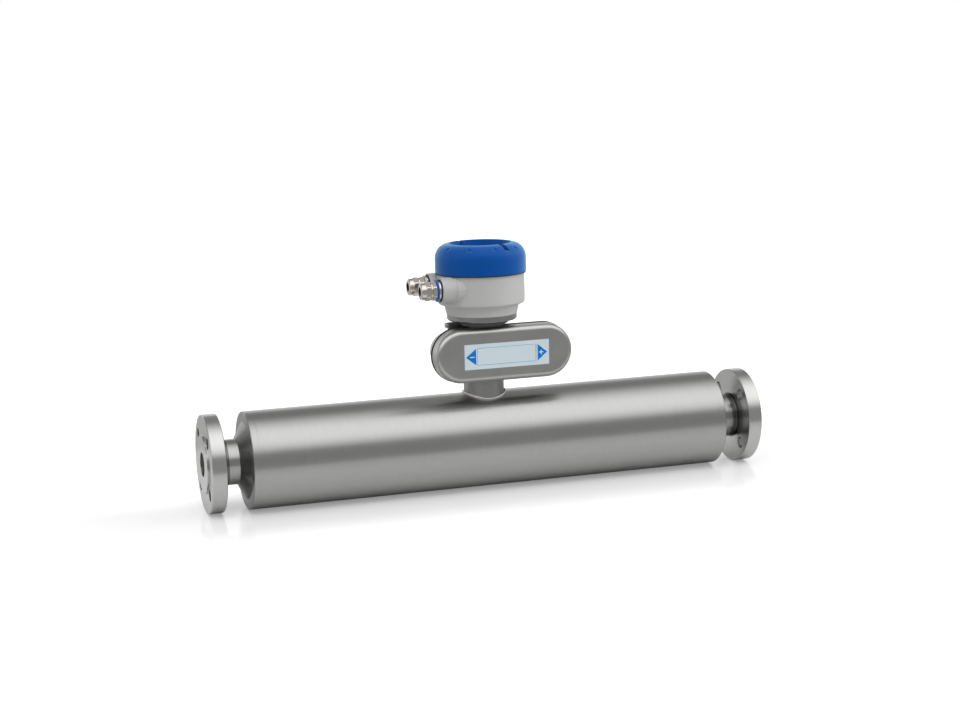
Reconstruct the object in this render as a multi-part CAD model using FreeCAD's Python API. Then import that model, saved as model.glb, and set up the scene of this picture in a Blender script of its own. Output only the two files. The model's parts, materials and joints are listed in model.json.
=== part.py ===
import FreeCAD, Part
import math
import os

# Flow line: x = 0 is the inlet sealing face, the pipe axis is y = z = 0
FACE_TO_FACE = 686.0
BORE_D = 28.5
FLANGE_D = 115.0
FLANGE_T = 17.0
FLANGE_EDGE = 0.8
RAISED_FACE_D = 68.0
RAISED_FACE_T = 2.0
BOLT_CIRCLE_D = 85.0
BOLT_HOLE_D = 14.0
BOLT_COUNT = 4
HUB_LENGTH = 8.0
HUB_GROOVE_W = 1.8
HUB_GROOVE_DEPTH = 1.6
HUB_RIDGE_W = 1.4
NECK_D = 53.0

# Body with its end caps
BODY_D = 114.3
BODY_WALL = 3.0
NECK_LENGTH = 12.4
END_CAP_T = 8.0
END_CAP_EDGE = 1.0
END_CONE_D = 90.0
END_CONE_LENGTH = 10.0
END_CONE_LIP = 1.0
STEM_HOLE_D = 36.0

# Measuring tubes with splitters and brace plates
TUBE_D = 20.0
TUBE_WALL = 1.2
TUBE_PITCH = 26.0
SPLIT_LENGTH = 38.0
TUBE_SOCKET_DEPTH = 10.0
BRACE_T = 3.0
BRACE_RIM = 7.0
BRACE_OFFSET = 45.0

# Drive and pickup coils
PICKUP_OFFSET = 130.0
BRACKET_LENGTH = 12.0
BRACKET_RING_T = 2.5
BRACKET_POST_T = 4.0
BRACKET_POST_H = 21.0
COIL_DROP = 8.0
COIL_D = 15.0
COIL_BORE_D = 9.0
COIL_LENGTH = 8.0
MAGNET_D = 7.0
MAGNET_TIP_GAP = 4.0
SENSOR_LENGTH = 14.0
SENSOR_WIDTH = 7.0
SENSOR_TOP = 4.0
SENSOR_OFFSET = 75.0
LOOM_D = 4.0
LOOM_RISE = 6.0

# Stem on the body
STEM_D = 48.3
STEM_WALL = 3.0
STEM_WELD = 2.4
FEEDTHROUGH_RISE = 3.5
FEEDTHROUGH_T = 7.0
PIN_COUNT = 8
PIN_D = 1.2
PIN_CIRCLE_D = 26.0
PIN_LENGTH = 3.0
LEAD_D = 8.0
LEAD_GAP = 0.3

# Oval electronics case
CASE_OFFSET = 16.7
STEM_LENGTH = 16.8
CASE_HALF_W = 85.2
CASE_HALF_H = 32.3
CASE_SPLIT_Y = -13.7
COVER_DEPTH = 20.3
COVER_DRAFT = 1.6
COVER_RIM_R = 7.0
REAR_DEPTH = 40.7
REAR_DRAFT = 14.5
REAR_RIM_R = 5.0
CASE_WALL = 2.5
GASKET_T = 2.5
GASKET_W = 4.6
GASKET_STAND = 0.6
CABLE_HOLE_D = 24.0
PILLAR_D = 9.0
PILLAR_REACH = 9.0
PILLAR_ANGLE = 50.0
CASE_SCREW_D = 4.0
CASE_SCREW_HEAD_D = 7.0
CASE_SCREW_HEAD_T = 3.0
CASE_SCREW_BITE = 12.0

# Label on the cover
LABEL_SHIFT_X = 1.3
LABEL_SHIFT_Z = -0.7
LABEL_W = 105.4
LABEL_H = 29.9
LABEL_T = 0.5

# Electronics board
BOARD_SIDE_GAP = 2.4
BOARD_EDGE_GAP = 6.2
BOARD_T = 1.6
BOARD_BEHIND = 3.7
STANDOFF_D = 5.0
STANDOFF_INSET = 5.0
BOARD_SCREW_D = 2.5
BOARD_SCREW_HEAD_D = 4.6
BOARD_SCREW_HEAD_T = 1.8
BOARD_SCREW_BITE = 6.0
CHIP_T = 2.4
CHIP_SIZE = 14.0
CHIP_COUNT = 3
CHIP_GAP = 4.5
TRANSFORMER_W = 24.0
TRANSFORMER_H = 20.0
TRANSFORMER_T = 15.0
CAPACITOR_D = 9.0
CAPACITOR_T = 13.0
CONNECTOR_W = 30.0
CONNECTOR_H = 9.0
CONNECTOR_T = 5.5

# Neck between case and head, all on the stem axis
SOCKET_STEP = 3.0
SOCKET_ROOT = 15.5
SOCKET_FLANGE_D = 62.0
SOCKET_FLANGE_T = 2.2
SPIGOT_D = 48.0
SPIGOT_LIP = 2.5
COLLAR_W = 5.75
COLLAR_T = 1.6
COLLAR_GAP = 0.4
RETAINER_W = 2.5
RETAINER_T = 2.0
EARTH_SCREW_D = 2.5
EARTH_SCREW_BITE = 5.0
EARTH_HEAD_D = 6.0
EARTH_HEAD_T = 3.0
EARTH_WASHER_T = 1.0
EARTH_DROP = 4.9
EARTH_STAND = 0.5
EARTH_LUG_W = 8.0

# Head housing
HEAD_RISE = 6.5
BASE_RING_INSET = 0.25
BASE_RING_T = 6.9
BASE_RING_CHAMFER = 1.6
HOUSING_FOOT_D = 84.0
CONE_TOP_D = 89.8
CONE_H = 12.3
HOUSING_D = 103.6
HOUSING_CORNER_R = 3.4
HOUSING_H = 36.3
HOUSING_FLOOR_T = 5.0
HOUSING_FOOT_WALL = 4.6
HOUSING_WALL = 7.8
THREAD_WALL = 3.0
THREAD_H = 10.5
BASE_SCREW_D = 4.0
BASE_SCREW_HEAD_D = 7.0
BASE_SCREW_HEAD_T = 3.0
BASE_SCREW_BITE = 6.0
BASE_SCREW_COUNT = 4

# Terminals in the head
TERMINAL_POST_H = 14.3
TERMINAL_POST_D = 7.0
TERMINAL_BOARD_GAP = 3.0
TERMINAL_BOARD_T = 2.0
TERMINAL_POST_INSET = 5.0
TERMINAL_COUNT = 4
TERMINAL_SCREW_D = 3.0
TERMINAL_HEAD_D = 5.6
TERMINAL_HEAD_T = 2.2
TERMINAL_SCREW_BITE = 8.0
BLOCK_W = 48.0
BLOCK_DEPTH = 16.0
BLOCK_H = 13.0
BLOCK_WAYS = 6
BLOCK_WAY_D = 4.5
BLOCK_WAY_DEPTH = 4.0

# Cable entries on the side of the head
GLAND_SPACING = 50.0
GLAND_DROP = 15.1
BOSS_D = 30.0
BOSS_LENGTH = 7.0
GLAND_HOLE_D = 16.0
BOSS_FOOT_D = 33.0
BOSS_FOOT_REACH = 41.5
BOSS_FOOT_FILLET_R = 1.2
GLAND_SEAL_T = 1.2
GLAND_SEAL_D = 26.0
WASHER_T = 2.4
WASHER_D = 24.0
MARKER_T = 1.4
MARKER_D = 26.0
BODY_HEX_T = 5.6
GLAND_HEX_AF = 20.0
GLAND_HEX_CORNER_D = 22.4
GLAND_SHANK_LENGTH = 17.0
GLAND_NECK_D = 16.8
GLAND_NECK_LENGTH = 10.6
GLAND_BORE_D = 12.0
NUT_GAP = 0.4
NUT_COLLAR_T = 1.5
NUT_COLLAR_D = 21.4
NUT_HEX_T = 6.5
NUT_DOME_T = 5.7
NUT_DOME_D = 20.0
NUT_TIP_D = 14.4
NUT_TIP_HOLE_D = 10.8
NUT_TIP_WALL = 2.2
INSERT_PLUG_LENGTH = 8.2
INSERT_FLANGE_T = 1.0
INSERT_FLANGE_GAP = 0.1
CABLE_D = 8.0

# Screw cap on the head
CAP_OVERHANG = 2.4
CAP_H = 34.8
CAP_SHOULDER_R = 17.3
CAP_EDGE = 0.6
CRATER_DEPTH = 9.3
CRATER_TAPER = 1.7
CAP_ROOF_T = 4.0
CAP_INNER_CHAMFER = 3.0
CAP_SLOT_W = 6.0
CAP_SLOT_DEPTH = 7.0
CAP_SLOT_REACH = 16.0
CAP_SLOT_ANGLE = -69.0
CAP_SLOT_COUNT = 2
DIMPLE_COUNT = 10
DIMPLE_BALL_R = 6.0
DIMPLE_DEPTH = 1.3
DIMPLE_ANGLE = 47.0
CAP_SEAL_T = 1.0
CAP_SEAL_OVERHANG = 1.9
CAP_SEAL_GAP = 0.05

# Named clearances
THREAD_CLEARANCE = 0.3
SCREW_CLEARANCE = 0.2
THREAD_FIT = 0.05
SWIVEL_CLEARANCE = 0.08
SEAT_CLEARANCE = 0.1
RETAINER_CLEARANCE = 0.3
OVERCUT = 1.0

# Sizes that follow from those above
VECTOR = FreeCAD.Vector
MID_X = FACE_TO_FACE / 2.0
BORE_R = BORE_D / 2.0
NECK_R = NECK_D / 2.0
BODY_R = BODY_D / 2.0
FLANGE_BACK = RAISED_FACE_T + FLANGE_T
HUB_END = FLANGE_BACK + HUB_LENGTH
BODY_START = HUB_END + NECK_LENGTH + END_CONE_LENGTH
END_CAP_BACK = BODY_START + END_CAP_T
SPLIT_END = END_CAP_BACK + SPLIT_LENGTH
TUBE_R = TUBE_D / 2.0
TUBE_Y = TUBE_PITCH / 2.0
POST_INNER_Y = TUBE_Y - BRACKET_POST_T / 4.0
BRACKET_TOP = TUBE_R + BRACKET_POST_H
COIL_Z = BRACKET_TOP - COIL_DROP

STEM_R = STEM_D / 2.0
FEEDTHROUGH_Z = BODY_R + FEEDTHROUGH_RISE
FEEDTHROUGH_TOP = FEEDTHROUGH_Z + FEEDTHROUGH_T
CASE_X = MID_X + CASE_OFFSET
CASE_Z = BODY_R + STEM_LENGTH + CASE_HALF_H
CASE_TOP_Z = CASE_Z + CASE_HALF_H
CASE_ARC_X = CASE_HALF_W - CASE_HALF_H
COVER_BACK_Y = CASE_SPLIT_Y - GASKET_T
COVER_FRONT_Y = COVER_BACK_Y - COVER_DEPTH
CASE_REAR_Y = CASE_SPLIT_Y + REAR_DEPTH
REAR_FLOOR_Y = CASE_REAR_Y - CASE_WALL
PILLAR_X = CASE_ARC_X + PILLAR_REACH * math.cos(math.radians(PILLAR_ANGLE))
PILLAR_Z = PILLAR_REACH * math.sin(math.radians(PILLAR_ANGLE))
LABEL_X = CASE_X + LABEL_SHIFT_X
LABEL_Z = CASE_Z + LABEL_SHIFT_Z
BOARD_W = 2.0 * (PILLAR_X - PILLAR_D / 2.0 - BOARD_SIDE_GAP)
BOARD_H = 2.0 * (CASE_HALF_H - CASE_WALL - BOARD_EDGE_GAP)
BOARD_Y = CASE_SPLIT_Y + BOARD_BEHIND

HEAD_FOOT_Z = CASE_TOP_Z + HEAD_RISE
FLOOR_Z = HEAD_FOOT_Z + BASE_RING_T
FLOOR_TOP = FLOOR_Z + HOUSING_FLOOR_T
STEP_Z = FLOOR_Z + CONE_H
SHOULDER_Z = STEP_Z + HOUSING_H
SOCKET_D = SPIGOT_D + 2.0 * SOCKET_STEP
RETAINER_D = SPIGOT_D + 2.0 * RETAINER_W
RETAINER_Z = FLOOR_TOP + RETAINER_CLEARANCE
SPIGOT_TOP = RETAINER_Z + RETAINER_T + SPIGOT_LIP
FOOT_CAVITY_D = HOUSING_FOOT_D - 2.0 * HOUSING_FOOT_WALL
CAVITY_D = HOUSING_D - 2.0 * HOUSING_WALL
BASE_SCREW_CIRCLE_D = (RETAINER_D + FOOT_CAVITY_D) / 2.0
BASE_RING_D = HOUSING_FOOT_D - 2.0 * BASE_RING_INSET
COLLAR_D = SOCKET_D + 2.0 * COLLAR_W
COLLAR_TOP = HEAD_FOOT_Z - COLLAR_GAP
FLANGE_TOP_Z = COLLAR_TOP - COLLAR_T
EARTH_Z = HEAD_FOOT_Z - EARTH_DROP
THREAD_D = CAVITY_D + 2.0 * THREAD_WALL
TERMINAL_Z = FLOOR_TOP + TERMINAL_POST_H
TERMINAL_TOP = TERMINAL_Z + TERMINAL_BOARD_T
TERMINAL_BOARD_D = CAVITY_D - 2.0 * TERMINAL_BOARD_GAP
TERMINAL_CIRCLE_D = TERMINAL_BOARD_D - 2.0 * TERMINAL_POST_INSET

CAP_D = HOUSING_D + 2.0 * CAP_OVERHANG
CAP_SEAL_D = HOUSING_D + 2.0 * CAP_SEAL_OVERHANG
CAP_FOOT_Z = SHOULDER_Z + CAP_SEAL_T + 2.0 * CAP_SEAL_GAP
CAP_TOP_Z = CAP_FOOT_Z + CAP_H
CRATER_R = CAP_D / 2.0 - CAP_SHOULDER_R
CRATER_FLOOR_Z = CAP_TOP_Z - CRATER_DEPTH
CAP_ROOF_Z = CRATER_FLOOR_Z - CAP_ROOF_T
CAP_THREAD_R = THREAD_D / 2.0 + THREAD_CLEARANCE

GLAND_Z = SHOULDER_Z - GLAND_DROP
BOSS_FACE_REACH = HOUSING_D / 2.0 + BOSS_LENGTH
BOSS_FACE_X = MID_X - BOSS_FACE_REACH
MARKER_START = GLAND_SEAL_T + WASHER_T
BODY_HEX_START = MARKER_START + MARKER_T
BODY_HEX_END = BODY_HEX_START + BODY_HEX_T
GLAND_NECK_END = BODY_HEX_END + GLAND_NECK_LENGTH
NUT_START = BODY_HEX_END + NUT_GAP
NUT_HEX_START = NUT_START + NUT_COLLAR_T
NUT_HEX_END = NUT_HEX_START + NUT_HEX_T
NUT_END = NUT_HEX_END + NUT_DOME_T
NUT_CEILING = NUT_END - NUT_TIP_WALL

AXES = {
    "x": (VECTOR(1, 0, 0), VECTOR(0, 0, 1)),
    "y": (VECTOR(0, 1, 0), VECTOR(0, 0, 1)),
    "z": (VECTOR(0, 0, 1), VECTOR(1, 0, 0)),
    "gland": (VECTOR(-1, 0, 0), VECTOR(0, 0, 1)),
}
PIPE = VECTOR(0, 0, 0)
STEM = VECTOR(MID_X, 0, 0)


def rod(axis, centre, start, end, radius):
    """Round bar on an axis through centre, from start to end along it."""
    along = AXES[axis][0]
    return Part.makeCylinder(radius, end - start, centre + along * start, along)


def ring(axis, centre, start, end, outer_r, inner_r):
    """Flat ring or tube on an axis through centre."""
    hole = rod(axis, centre, start - OVERCUT, end + OVERCUT, inner_r)
    return rod(axis, centre, start, end, outer_r).cut(hole)


def turned(axis, centre, profile):
    """Turned solid: profile is (along, radius) points, and a third item marks an arc's middle."""
    along, out = AXES[axis]
    points = [centre + along * p[0] + out * p[1] for p in profile]
    points.append(points[0])
    edges = []
    i = 0
    while i < len(profile):
        is_arc = i + 1 < len(profile) and len(profile[i + 1]) == 3
        if is_arc:
            edges.append(Part.Arc(points[i], points[i + 1], points[i + 2]).toShape())
        else:
            edges.append(Part.LineSegment(points[i], points[i + 1]).toShape())
        i += 2 if is_arc else 1
    return Part.Face(Part.Wire(edges)).revolve(centre, along, 360)


def arc_middle(along, out, radius, degrees):
    """Middle point of a profile arc, at an angle from the outward direction."""
    angle = math.radians(degrees)
    return (along + radius * math.sin(angle), out + radius * math.cos(angle), "arc")


def span(middle, width):
    """Low and high ends of a width about its middle."""
    return (middle - width / 2.0, middle + width / 2.0)


def block(x_range, y_range, z_range):
    """Box from three (low, high) pairs."""
    size = [high - low for low, high in (x_range, y_range, z_range)]
    return Part.makeBox(*size, VECTOR(x_range[0], y_range[0], z_range[0]))


def hexagon(axis, centre, start, end, across_flats):
    """Hexagonal bar on an axis through centre."""
    along, out = AXES[axis]
    side = along.cross(out)
    corner_r = across_flats / math.sqrt(3.0)
    points = []
    for i in range(7):
        angle = math.radians(60 * i)
        points.append(centre + along * start + (out * math.cos(angle) + side * math.sin(angle)) * corner_r)
    return Part.Face(Part.makePolygon(points)).extrude(along * (end - start))


def joined(shapes):
    """One solid from touching or overlapping shapes."""
    return shapes[0].fuse(shapes[1:]).removeSplitter()


def around(centre_x, circle_d, count, first_deg):
    """Points evenly spaced on a circle about the vertical axis at centre_x."""
    radius = circle_d / 2.0
    points = []
    for i in range(count):
        angle = math.radians(first_deg + 360.0 * i / count)
        points.append(VECTOR(centre_x + radius * math.cos(angle), radius * math.sin(angle), 0))
    return points


def outlet_side(shape):
    """Copy mirrored to the outlet end."""
    return shape.mirror(STEM, AXES["x"][0])


def save(name, shapes):
    """Write one node's STEP file."""
    shape = shapes[0] if len(shapes) == 1 else Part.makeCompound(shapes)
    shape.exportStep(os.path.join("parts", name + ".step"))


def save_pair(name, shape):
    """Write the inlet piece and its mirror image at the outlet."""
    save("inlet_" + name, [shape])
    save("outlet_" + name, [outlet_side(shape)])


# Flow line

def flange():
    """Flange with raised face, bolt holes and a hub with two grooves."""
    edge_r = FLANGE_D / 2.0
    groove_r = NECK_R - HUB_GROOVE_DEPTH
    groove_1 = FLANGE_BACK + HUB_GROOVE_W
    ridge_end = groove_1 + HUB_RIDGE_W
    groove_2 = ridge_end + HUB_GROOVE_W
    body = turned("x", PIPE, [
        (0, BORE_R), (0, RAISED_FACE_D / 2.0), (RAISED_FACE_T, RAISED_FACE_D / 2.0),
        (RAISED_FACE_T, edge_r - FLANGE_EDGE), (RAISED_FACE_T + FLANGE_EDGE, edge_r),
        (FLANGE_BACK - FLANGE_EDGE, edge_r), (FLANGE_BACK, edge_r - FLANGE_EDGE),
        (FLANGE_BACK, groove_r), (groove_1, groove_r), (groove_1, NECK_R), (ridge_end, NECK_R),
        (ridge_end, groove_r), (groove_2, groove_r), (groove_2, NECK_R), (HUB_END, NECK_R),
        (HUB_END, BORE_R)])
    holes = []
    for i in range(BOLT_COUNT):
        angle = math.radians(360.0 * (i + 0.5) / BOLT_COUNT)
        spot = VECTOR(0, math.cos(angle), math.sin(angle)) * (BOLT_CIRCLE_D / 2.0)
        holes.append(rod("x", spot, 0, FLANGE_BACK + OVERCUT, BOLT_HOLE_D / 2.0))
    return body.cut(holes)


def neck():
    """Plain neck from the flange hub through the end cap."""
    return ring("x", PIPE, HUB_END, END_CAP_BACK, NECK_R, BORE_R)


def end_cap():
    """End ring of the body with a shallow cone that stands out to the neck."""
    cone_start = BODY_START - END_CONE_LENGTH
    return turned("x", PIPE, [
        (cone_start, NECK_R), (cone_start, NECK_R + END_CONE_LIP), (BODY_START, END_CONE_D / 2.0),
        (BODY_START, BODY_R - END_CAP_EDGE), (BODY_START + END_CAP_EDGE, BODY_R),
        (END_CAP_BACK, BODY_R), (END_CAP_BACK, NECK_R)])


def body_tube():
    """Outer tube with the hole under the stem."""
    tube = ring("x", PIPE, END_CAP_BACK, FACE_TO_FACE - END_CAP_BACK, BODY_R, BODY_R - BODY_WALL)
    return tube.cut(rod("z", STEM, 0, BODY_R + OVERCUT, STEM_HOLE_D / 2.0))


def splitter():
    """Block that leads the bore into the two measuring tubes."""
    body = rod("x", PIPE, END_CAP_BACK, SPLIT_END + TUBE_SOCKET_DEPTH, NECK_R)
    along = AXES["x"][0]
    entry = Part.Wire(Part.makeCircle(BORE_R, along * END_CAP_BACK, along))
    cuts = []
    for side in (-1, 1):
        spot = VECTOR(0, side * TUBE_Y, 0)
        mouth = Part.Wire(Part.makeCircle(TUBE_R - TUBE_WALL, spot + along * SPLIT_END, along))
        cuts.append(Part.makeLoft([entry, mouth], True))
        cuts.append(rod("x", spot, SPLIT_END, SPLIT_END + TUBE_SOCKET_DEPTH + OVERCUT, TUBE_R))
    return body.cut(cuts)


def measuring_tube(side):
    """Thin straight tube between the two splitters."""
    spot = VECTOR(0, side * TUBE_Y, 0)
    return ring("x", spot, SPLIT_END, FACE_TO_FACE - SPLIT_END, TUBE_R, TUBE_R - TUBE_WALL)


def brace_plate():
    """Plate that ties the two tubes together near their end."""
    start = SPLIT_END + BRACE_OFFSET
    end = start + BRACE_T
    rim_r = TUBE_R + BRACE_RIM
    spots = [VECTOR(0, side * TUBE_Y, 0) for side in (-1, 1)]
    plate = joined([rod("x", spot, start, end, rim_r) for spot in spots]
                   + [block((start, end), (-TUBE_Y, TUBE_Y), (-rim_r, rim_r))])
    return plate.cut([rod("x", spot, start - OVERCUT, end + OVERCUT, TUBE_R) for spot in spots])


# Drive and pickups

def bracket(x, side):
    """Clamp ring on one tube with a post that carries a coil or magnet."""
    start = x - BRACKET_LENGTH / 2.0
    end = x + BRACKET_LENGTH / 2.0
    spot = VECTOR(0, side * TUBE_Y, 0)
    outer_y = POST_INNER_Y + BRACKET_POST_T
    low, high = sorted((side * POST_INNER_Y, side * outer_y))
    post = block((start, end), (low, high), (0, BRACKET_TOP))
    collar = rod("x", spot, start, end, TUBE_R + BRACKET_RING_T)
    return joined([collar, post]).cut(rod("x", spot, start - OVERCUT, end + OVERCUT, TUBE_R))


def coil(x):
    """Coil ring on the post of the first tube."""
    spot = VECTOR(x, 0, COIL_Z)
    return ring("y", spot, -POST_INNER_Y, COIL_LENGTH - POST_INNER_Y, COIL_D / 2.0, COIL_BORE_D / 2.0)


def magnet(x):
    """Magnet bar from the post of the second tube into the coil."""
    spot = VECTOR(x, 0, COIL_Z)
    return rod("y", spot, MAGNET_TIP_GAP - POST_INNER_Y, POST_INNER_Y, MAGNET_D / 2.0)


def temperature_sensor():
    """Small block bonded on the first tube."""
    start = MID_X + SENSOR_OFFSET
    body = block((start, start + SENSOR_LENGTH), span(-TUBE_Y, SENSOR_WIDTH), (0, TUBE_R + SENSOR_TOP))
    tube = rod("x", VECTOR(0, -TUBE_Y, 0), start - OVERCUT, start + SENSOR_LENGTH + OVERCUT, TUBE_R)
    lower = block((start - OVERCUT, start + SENSOR_LENGTH + OVERCUT), (-TUBE_Y - TUBE_R, -TUBE_Y + TUBE_R),
                  (-OVERCUT, TUBE_R / 2.0))
    return body.cut([tube, lower])


def loom():
    """Wires from the feedthrough to the coils and the temperature sensor."""
    radius = LOOM_D / 2.0
    run_z = BRACKET_TOP + LOOM_RISE
    coil_spots = (MID_X - PICKUP_OFFSET, MID_X, MID_X + PICKUP_OFFSET)
    run_y = -POST_INNER_Y - BRACKET_POST_T / 2.0
    sensor_x = MID_X + SENSOR_OFFSET + SENSOR_LENGTH / 2.0
    run = VECTOR(0, run_y, run_z)
    parts = [rod("x", run, coil_spots[0], coil_spots[-1], radius)]
    parts += [rod("z", VECTOR(x, run_y, 0), BRACKET_TOP, run_z, radius) for x in coil_spots]
    parts += [Part.makeSphere(radius, VECTOR(x, run_y, run_z)) for x in (coil_spots[0], coil_spots[-1])]
    parts.append(rod("z", VECTOR(sensor_x, -TUBE_Y, 0), TUBE_R + SENSOR_TOP, run_z, radius))
    parts.append(rod("y", VECTOR(MID_X, 0, run_z), run_y, 0, radius))
    parts.append(Part.makeSphere(radius, VECTOR(MID_X, 0, run_z)))
    parts.append(rod("z", STEM, run_z, FEEDTHROUGH_Z - PIN_LENGTH, radius))
    parts.append(turned("z", STEM, [
        (FEEDTHROUGH_Z - 2.0 * PIN_LENGTH, 0), (FEEDTHROUGH_Z - 2.0 * PIN_LENGTH, radius),
        (FEEDTHROUGH_Z - PIN_LENGTH, PIN_CIRCLE_D / 2.0 + PIN_D),
        (FEEDTHROUGH_Z, PIN_CIRCLE_D / 2.0 + PIN_D), (FEEDTHROUGH_Z, 0)]))
    return joined(parts)


# Stem

def stem_tube():
    """Stem with its foot fitted to the body and its top to the case."""
    tube = ring("z", STEM, 0, CASE_Z, STEM_R, STEM_R - STEM_WALL)
    inside = rod("x", PIPE, 0, FACE_TO_FACE, BODY_R)
    return tube.cut([inside] + case_envelope())


def stem_weld():
    """Weld bead round the foot of the stem."""
    bead = ring("z", STEM, 0, BODY_R + STEM_WELD, STEM_R + STEM_WELD, STEM_R)
    shell = ring("x", PIPE, 0, FACE_TO_FACE, BODY_R + STEM_WELD, BODY_R)
    return bead.common(shell)


def feedthrough():
    """Sealed disc in the stem with contact pins above it."""
    disc = rod("z", STEM, FEEDTHROUGH_Z, FEEDTHROUGH_TOP, STEM_R - STEM_WALL)
    pins = [rod("z", spot, FEEDTHROUGH_TOP, FEEDTHROUGH_TOP + PIN_LENGTH, PIN_D / 2.0)
            for spot in around(MID_X, PIN_CIRCLE_D, PIN_COUNT, 0)]
    return joined([disc] + pins)


# Oval case

def oval_wire(y, inset):
    """Oval outline at depth y, drawn in from the largest outline by inset."""
    half_h = CASE_HALF_H - inset
    left = CASE_X - CASE_ARC_X
    right = CASE_X + CASE_ARC_X
    top = CASE_Z + half_h
    low = CASE_Z - half_h
    return Part.Wire([
        Part.LineSegment(VECTOR(left, y, top), VECTOR(right, y, top)).toShape(),
        Part.Arc(VECTOR(right, y, top), VECTOR(right + half_h, y, CASE_Z), VECTOR(right, y, low)).toShape(),
        Part.LineSegment(VECTOR(right, y, low), VECTOR(left, y, low)).toShape(),
        Part.Arc(VECTOR(left, y, low), VECTOR(left - half_h, y, CASE_Z), VECTOR(left, y, top)).toShape()])


def oval_solid(y_from, y_to, inset, draft, rim_r):
    """Drafted oval block that narrows towards y_to, with a rounded far rim."""
    depth = abs(y_to - y_from)
    far_inset = inset + depth * math.tan(math.radians(draft))
    solid = Part.makeLoft([oval_wire(y_from, inset), oval_wire(y_to, far_inset)], True, True)
    if rim_r <= 0:
        return solid
    rim = [e for e in solid.Edges if all(abs(v.Y - y_to) < 1e-6 for v in e.Vertexes)]
    return solid.makeFillet(rim_r, rim)


def cover_outer():
    """Filled outer form of the front cover."""
    return oval_solid(COVER_BACK_Y, COVER_FRONT_Y, 0, COVER_DRAFT, COVER_RIM_R)


def rear_outer():
    """Filled outer form of the rear shell."""
    return oval_solid(CASE_SPLIT_Y, CASE_REAR_Y, 0, REAR_DRAFT, REAR_RIM_R)


def gasket_outer():
    """Filled outer form of the gasket, which stands out a little."""
    return oval_solid(CASE_SPLIT_Y, COVER_BACK_Y, -GASKET_STAND, 0, 0)


def case_envelope():
    """Outer forms of the whole case, for fitting the stem, socket and collar."""
    return [cover_outer(), rear_outer(), gasket_outer()]


def pillar_spots():
    """Centres of the four screw pillars of the case."""
    return [VECTOR(CASE_X + side * PILLAR_X, 0, CASE_Z + level * PILLAR_Z)
            for side in (-1, 1) for level in (-1, 1)]


def front_cover():
    """Deep front cover with a threaded pillar for each case screw."""
    inner = oval_solid(COVER_BACK_Y, COVER_FRONT_Y + CASE_WALL, CASE_WALL, COVER_DRAFT,
                       max(COVER_RIM_R - CASE_WALL, 0))
    shell = cover_outer().cut(inner)
    pillars = [rod("y", spot, COVER_FRONT_Y + CASE_WALL / 2.0, COVER_BACK_Y, PILLAR_D / 2.0)
               for spot in pillar_spots()]
    hole_r = CASE_SCREW_D / 2.0 + THREAD_FIT
    holes = [rod("y", spot, CASE_SPLIT_Y - CASE_SCREW_BITE - THREAD_FIT, CASE_SPLIT_Y, hole_r)
             for spot in pillar_spots()]
    return joined([shell] + pillars).cut(holes)


def rear_inner():
    """Hollow of the rear shell."""
    return oval_solid(CASE_SPLIT_Y, REAR_FLOOR_Y, CASE_WALL, REAR_DRAFT, max(REAR_RIM_R - CASE_WALL, 0))


def rear_shell():
    """Rear shell with screw pillars and holes for the leads."""
    shell = rear_outer().cut(rear_inner())
    pillars = [rod("y", spot, CASE_SPLIT_Y, CASE_REAR_Y - CASE_WALL / 2.0, PILLAR_D / 2.0)
               for spot in pillar_spots()]
    hole_r = CASE_SCREW_D / 2.0 + SCREW_CLEARANCE
    holes = [rod("y", spot, CASE_SPLIT_Y - OVERCUT, CASE_REAR_Y + OVERCUT, hole_r)
             for spot in pillar_spots()]
    holes.append(rod("z", STEM, CASE_Z - CASE_HALF_H - OVERCUT, CASE_TOP_Z + OVERCUT, CABLE_HOLE_D / 2.0))
    return joined([shell] + pillars).cut(holes)


def gasket():
    """Oval gasket between cover and rear shell, with holes at the pillars."""
    inner = oval_solid(CASE_SPLIT_Y + OVERCUT, COVER_BACK_Y - OVERCUT, GASKET_W - GASKET_STAND, 0, 0)
    band = gasket_outer().cut(inner)
    hole_r = CASE_SCREW_D / 2.0 + SCREW_CLEARANCE
    pads = [ring("y", spot, COVER_BACK_Y, CASE_SPLIT_Y, PILLAR_D / 2.0, hole_r) for spot in pillar_spots()]
    return [band] + pads


def case_screws():
    """Screws that hold the cover, entered from the back."""
    screws = []
    for spot in pillar_spots():
        shank = rod("y", spot, CASE_SPLIT_Y - CASE_SCREW_BITE, CASE_REAR_Y, CASE_SCREW_D / 2.0)
        head = rod("y", spot, CASE_REAR_Y, CASE_REAR_Y + CASE_SCREW_HEAD_T, CASE_SCREW_HEAD_D / 2.0)
        screws.append(joined([shank, head]))
    return screws


def label():
    """Thin label plate on the front of the cover."""
    return block(span(LABEL_X, LABEL_W), (COVER_FRONT_Y - LABEL_T, COVER_FRONT_Y), span(LABEL_Z, LABEL_H))


# Electronics

def board_spots():
    """Centres of the board's four standoffs."""
    reach_x = BOARD_W / 2.0 - STANDOFF_INSET
    reach_z = BOARD_H / 2.0 - STANDOFF_INSET
    return [VECTOR(CASE_X + side * reach_x, 0, CASE_Z + level * reach_z)
            for side in (-1, 1) for level in (-1, 1)]


def main_board():
    """Circuit board behind the cover, with holes for its screws."""
    board = block(span(CASE_X, BOARD_W), (BOARD_Y - BOARD_T, BOARD_Y), span(CASE_Z, BOARD_H))
    hole_r = BOARD_SCREW_D / 2.0 + SCREW_CLEARANCE
    return board.cut([rod("y", spot, BOARD_Y - BOARD_T - OVERCUT, BOARD_Y + OVERCUT, hole_r)
                      for spot in board_spots()])


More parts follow.
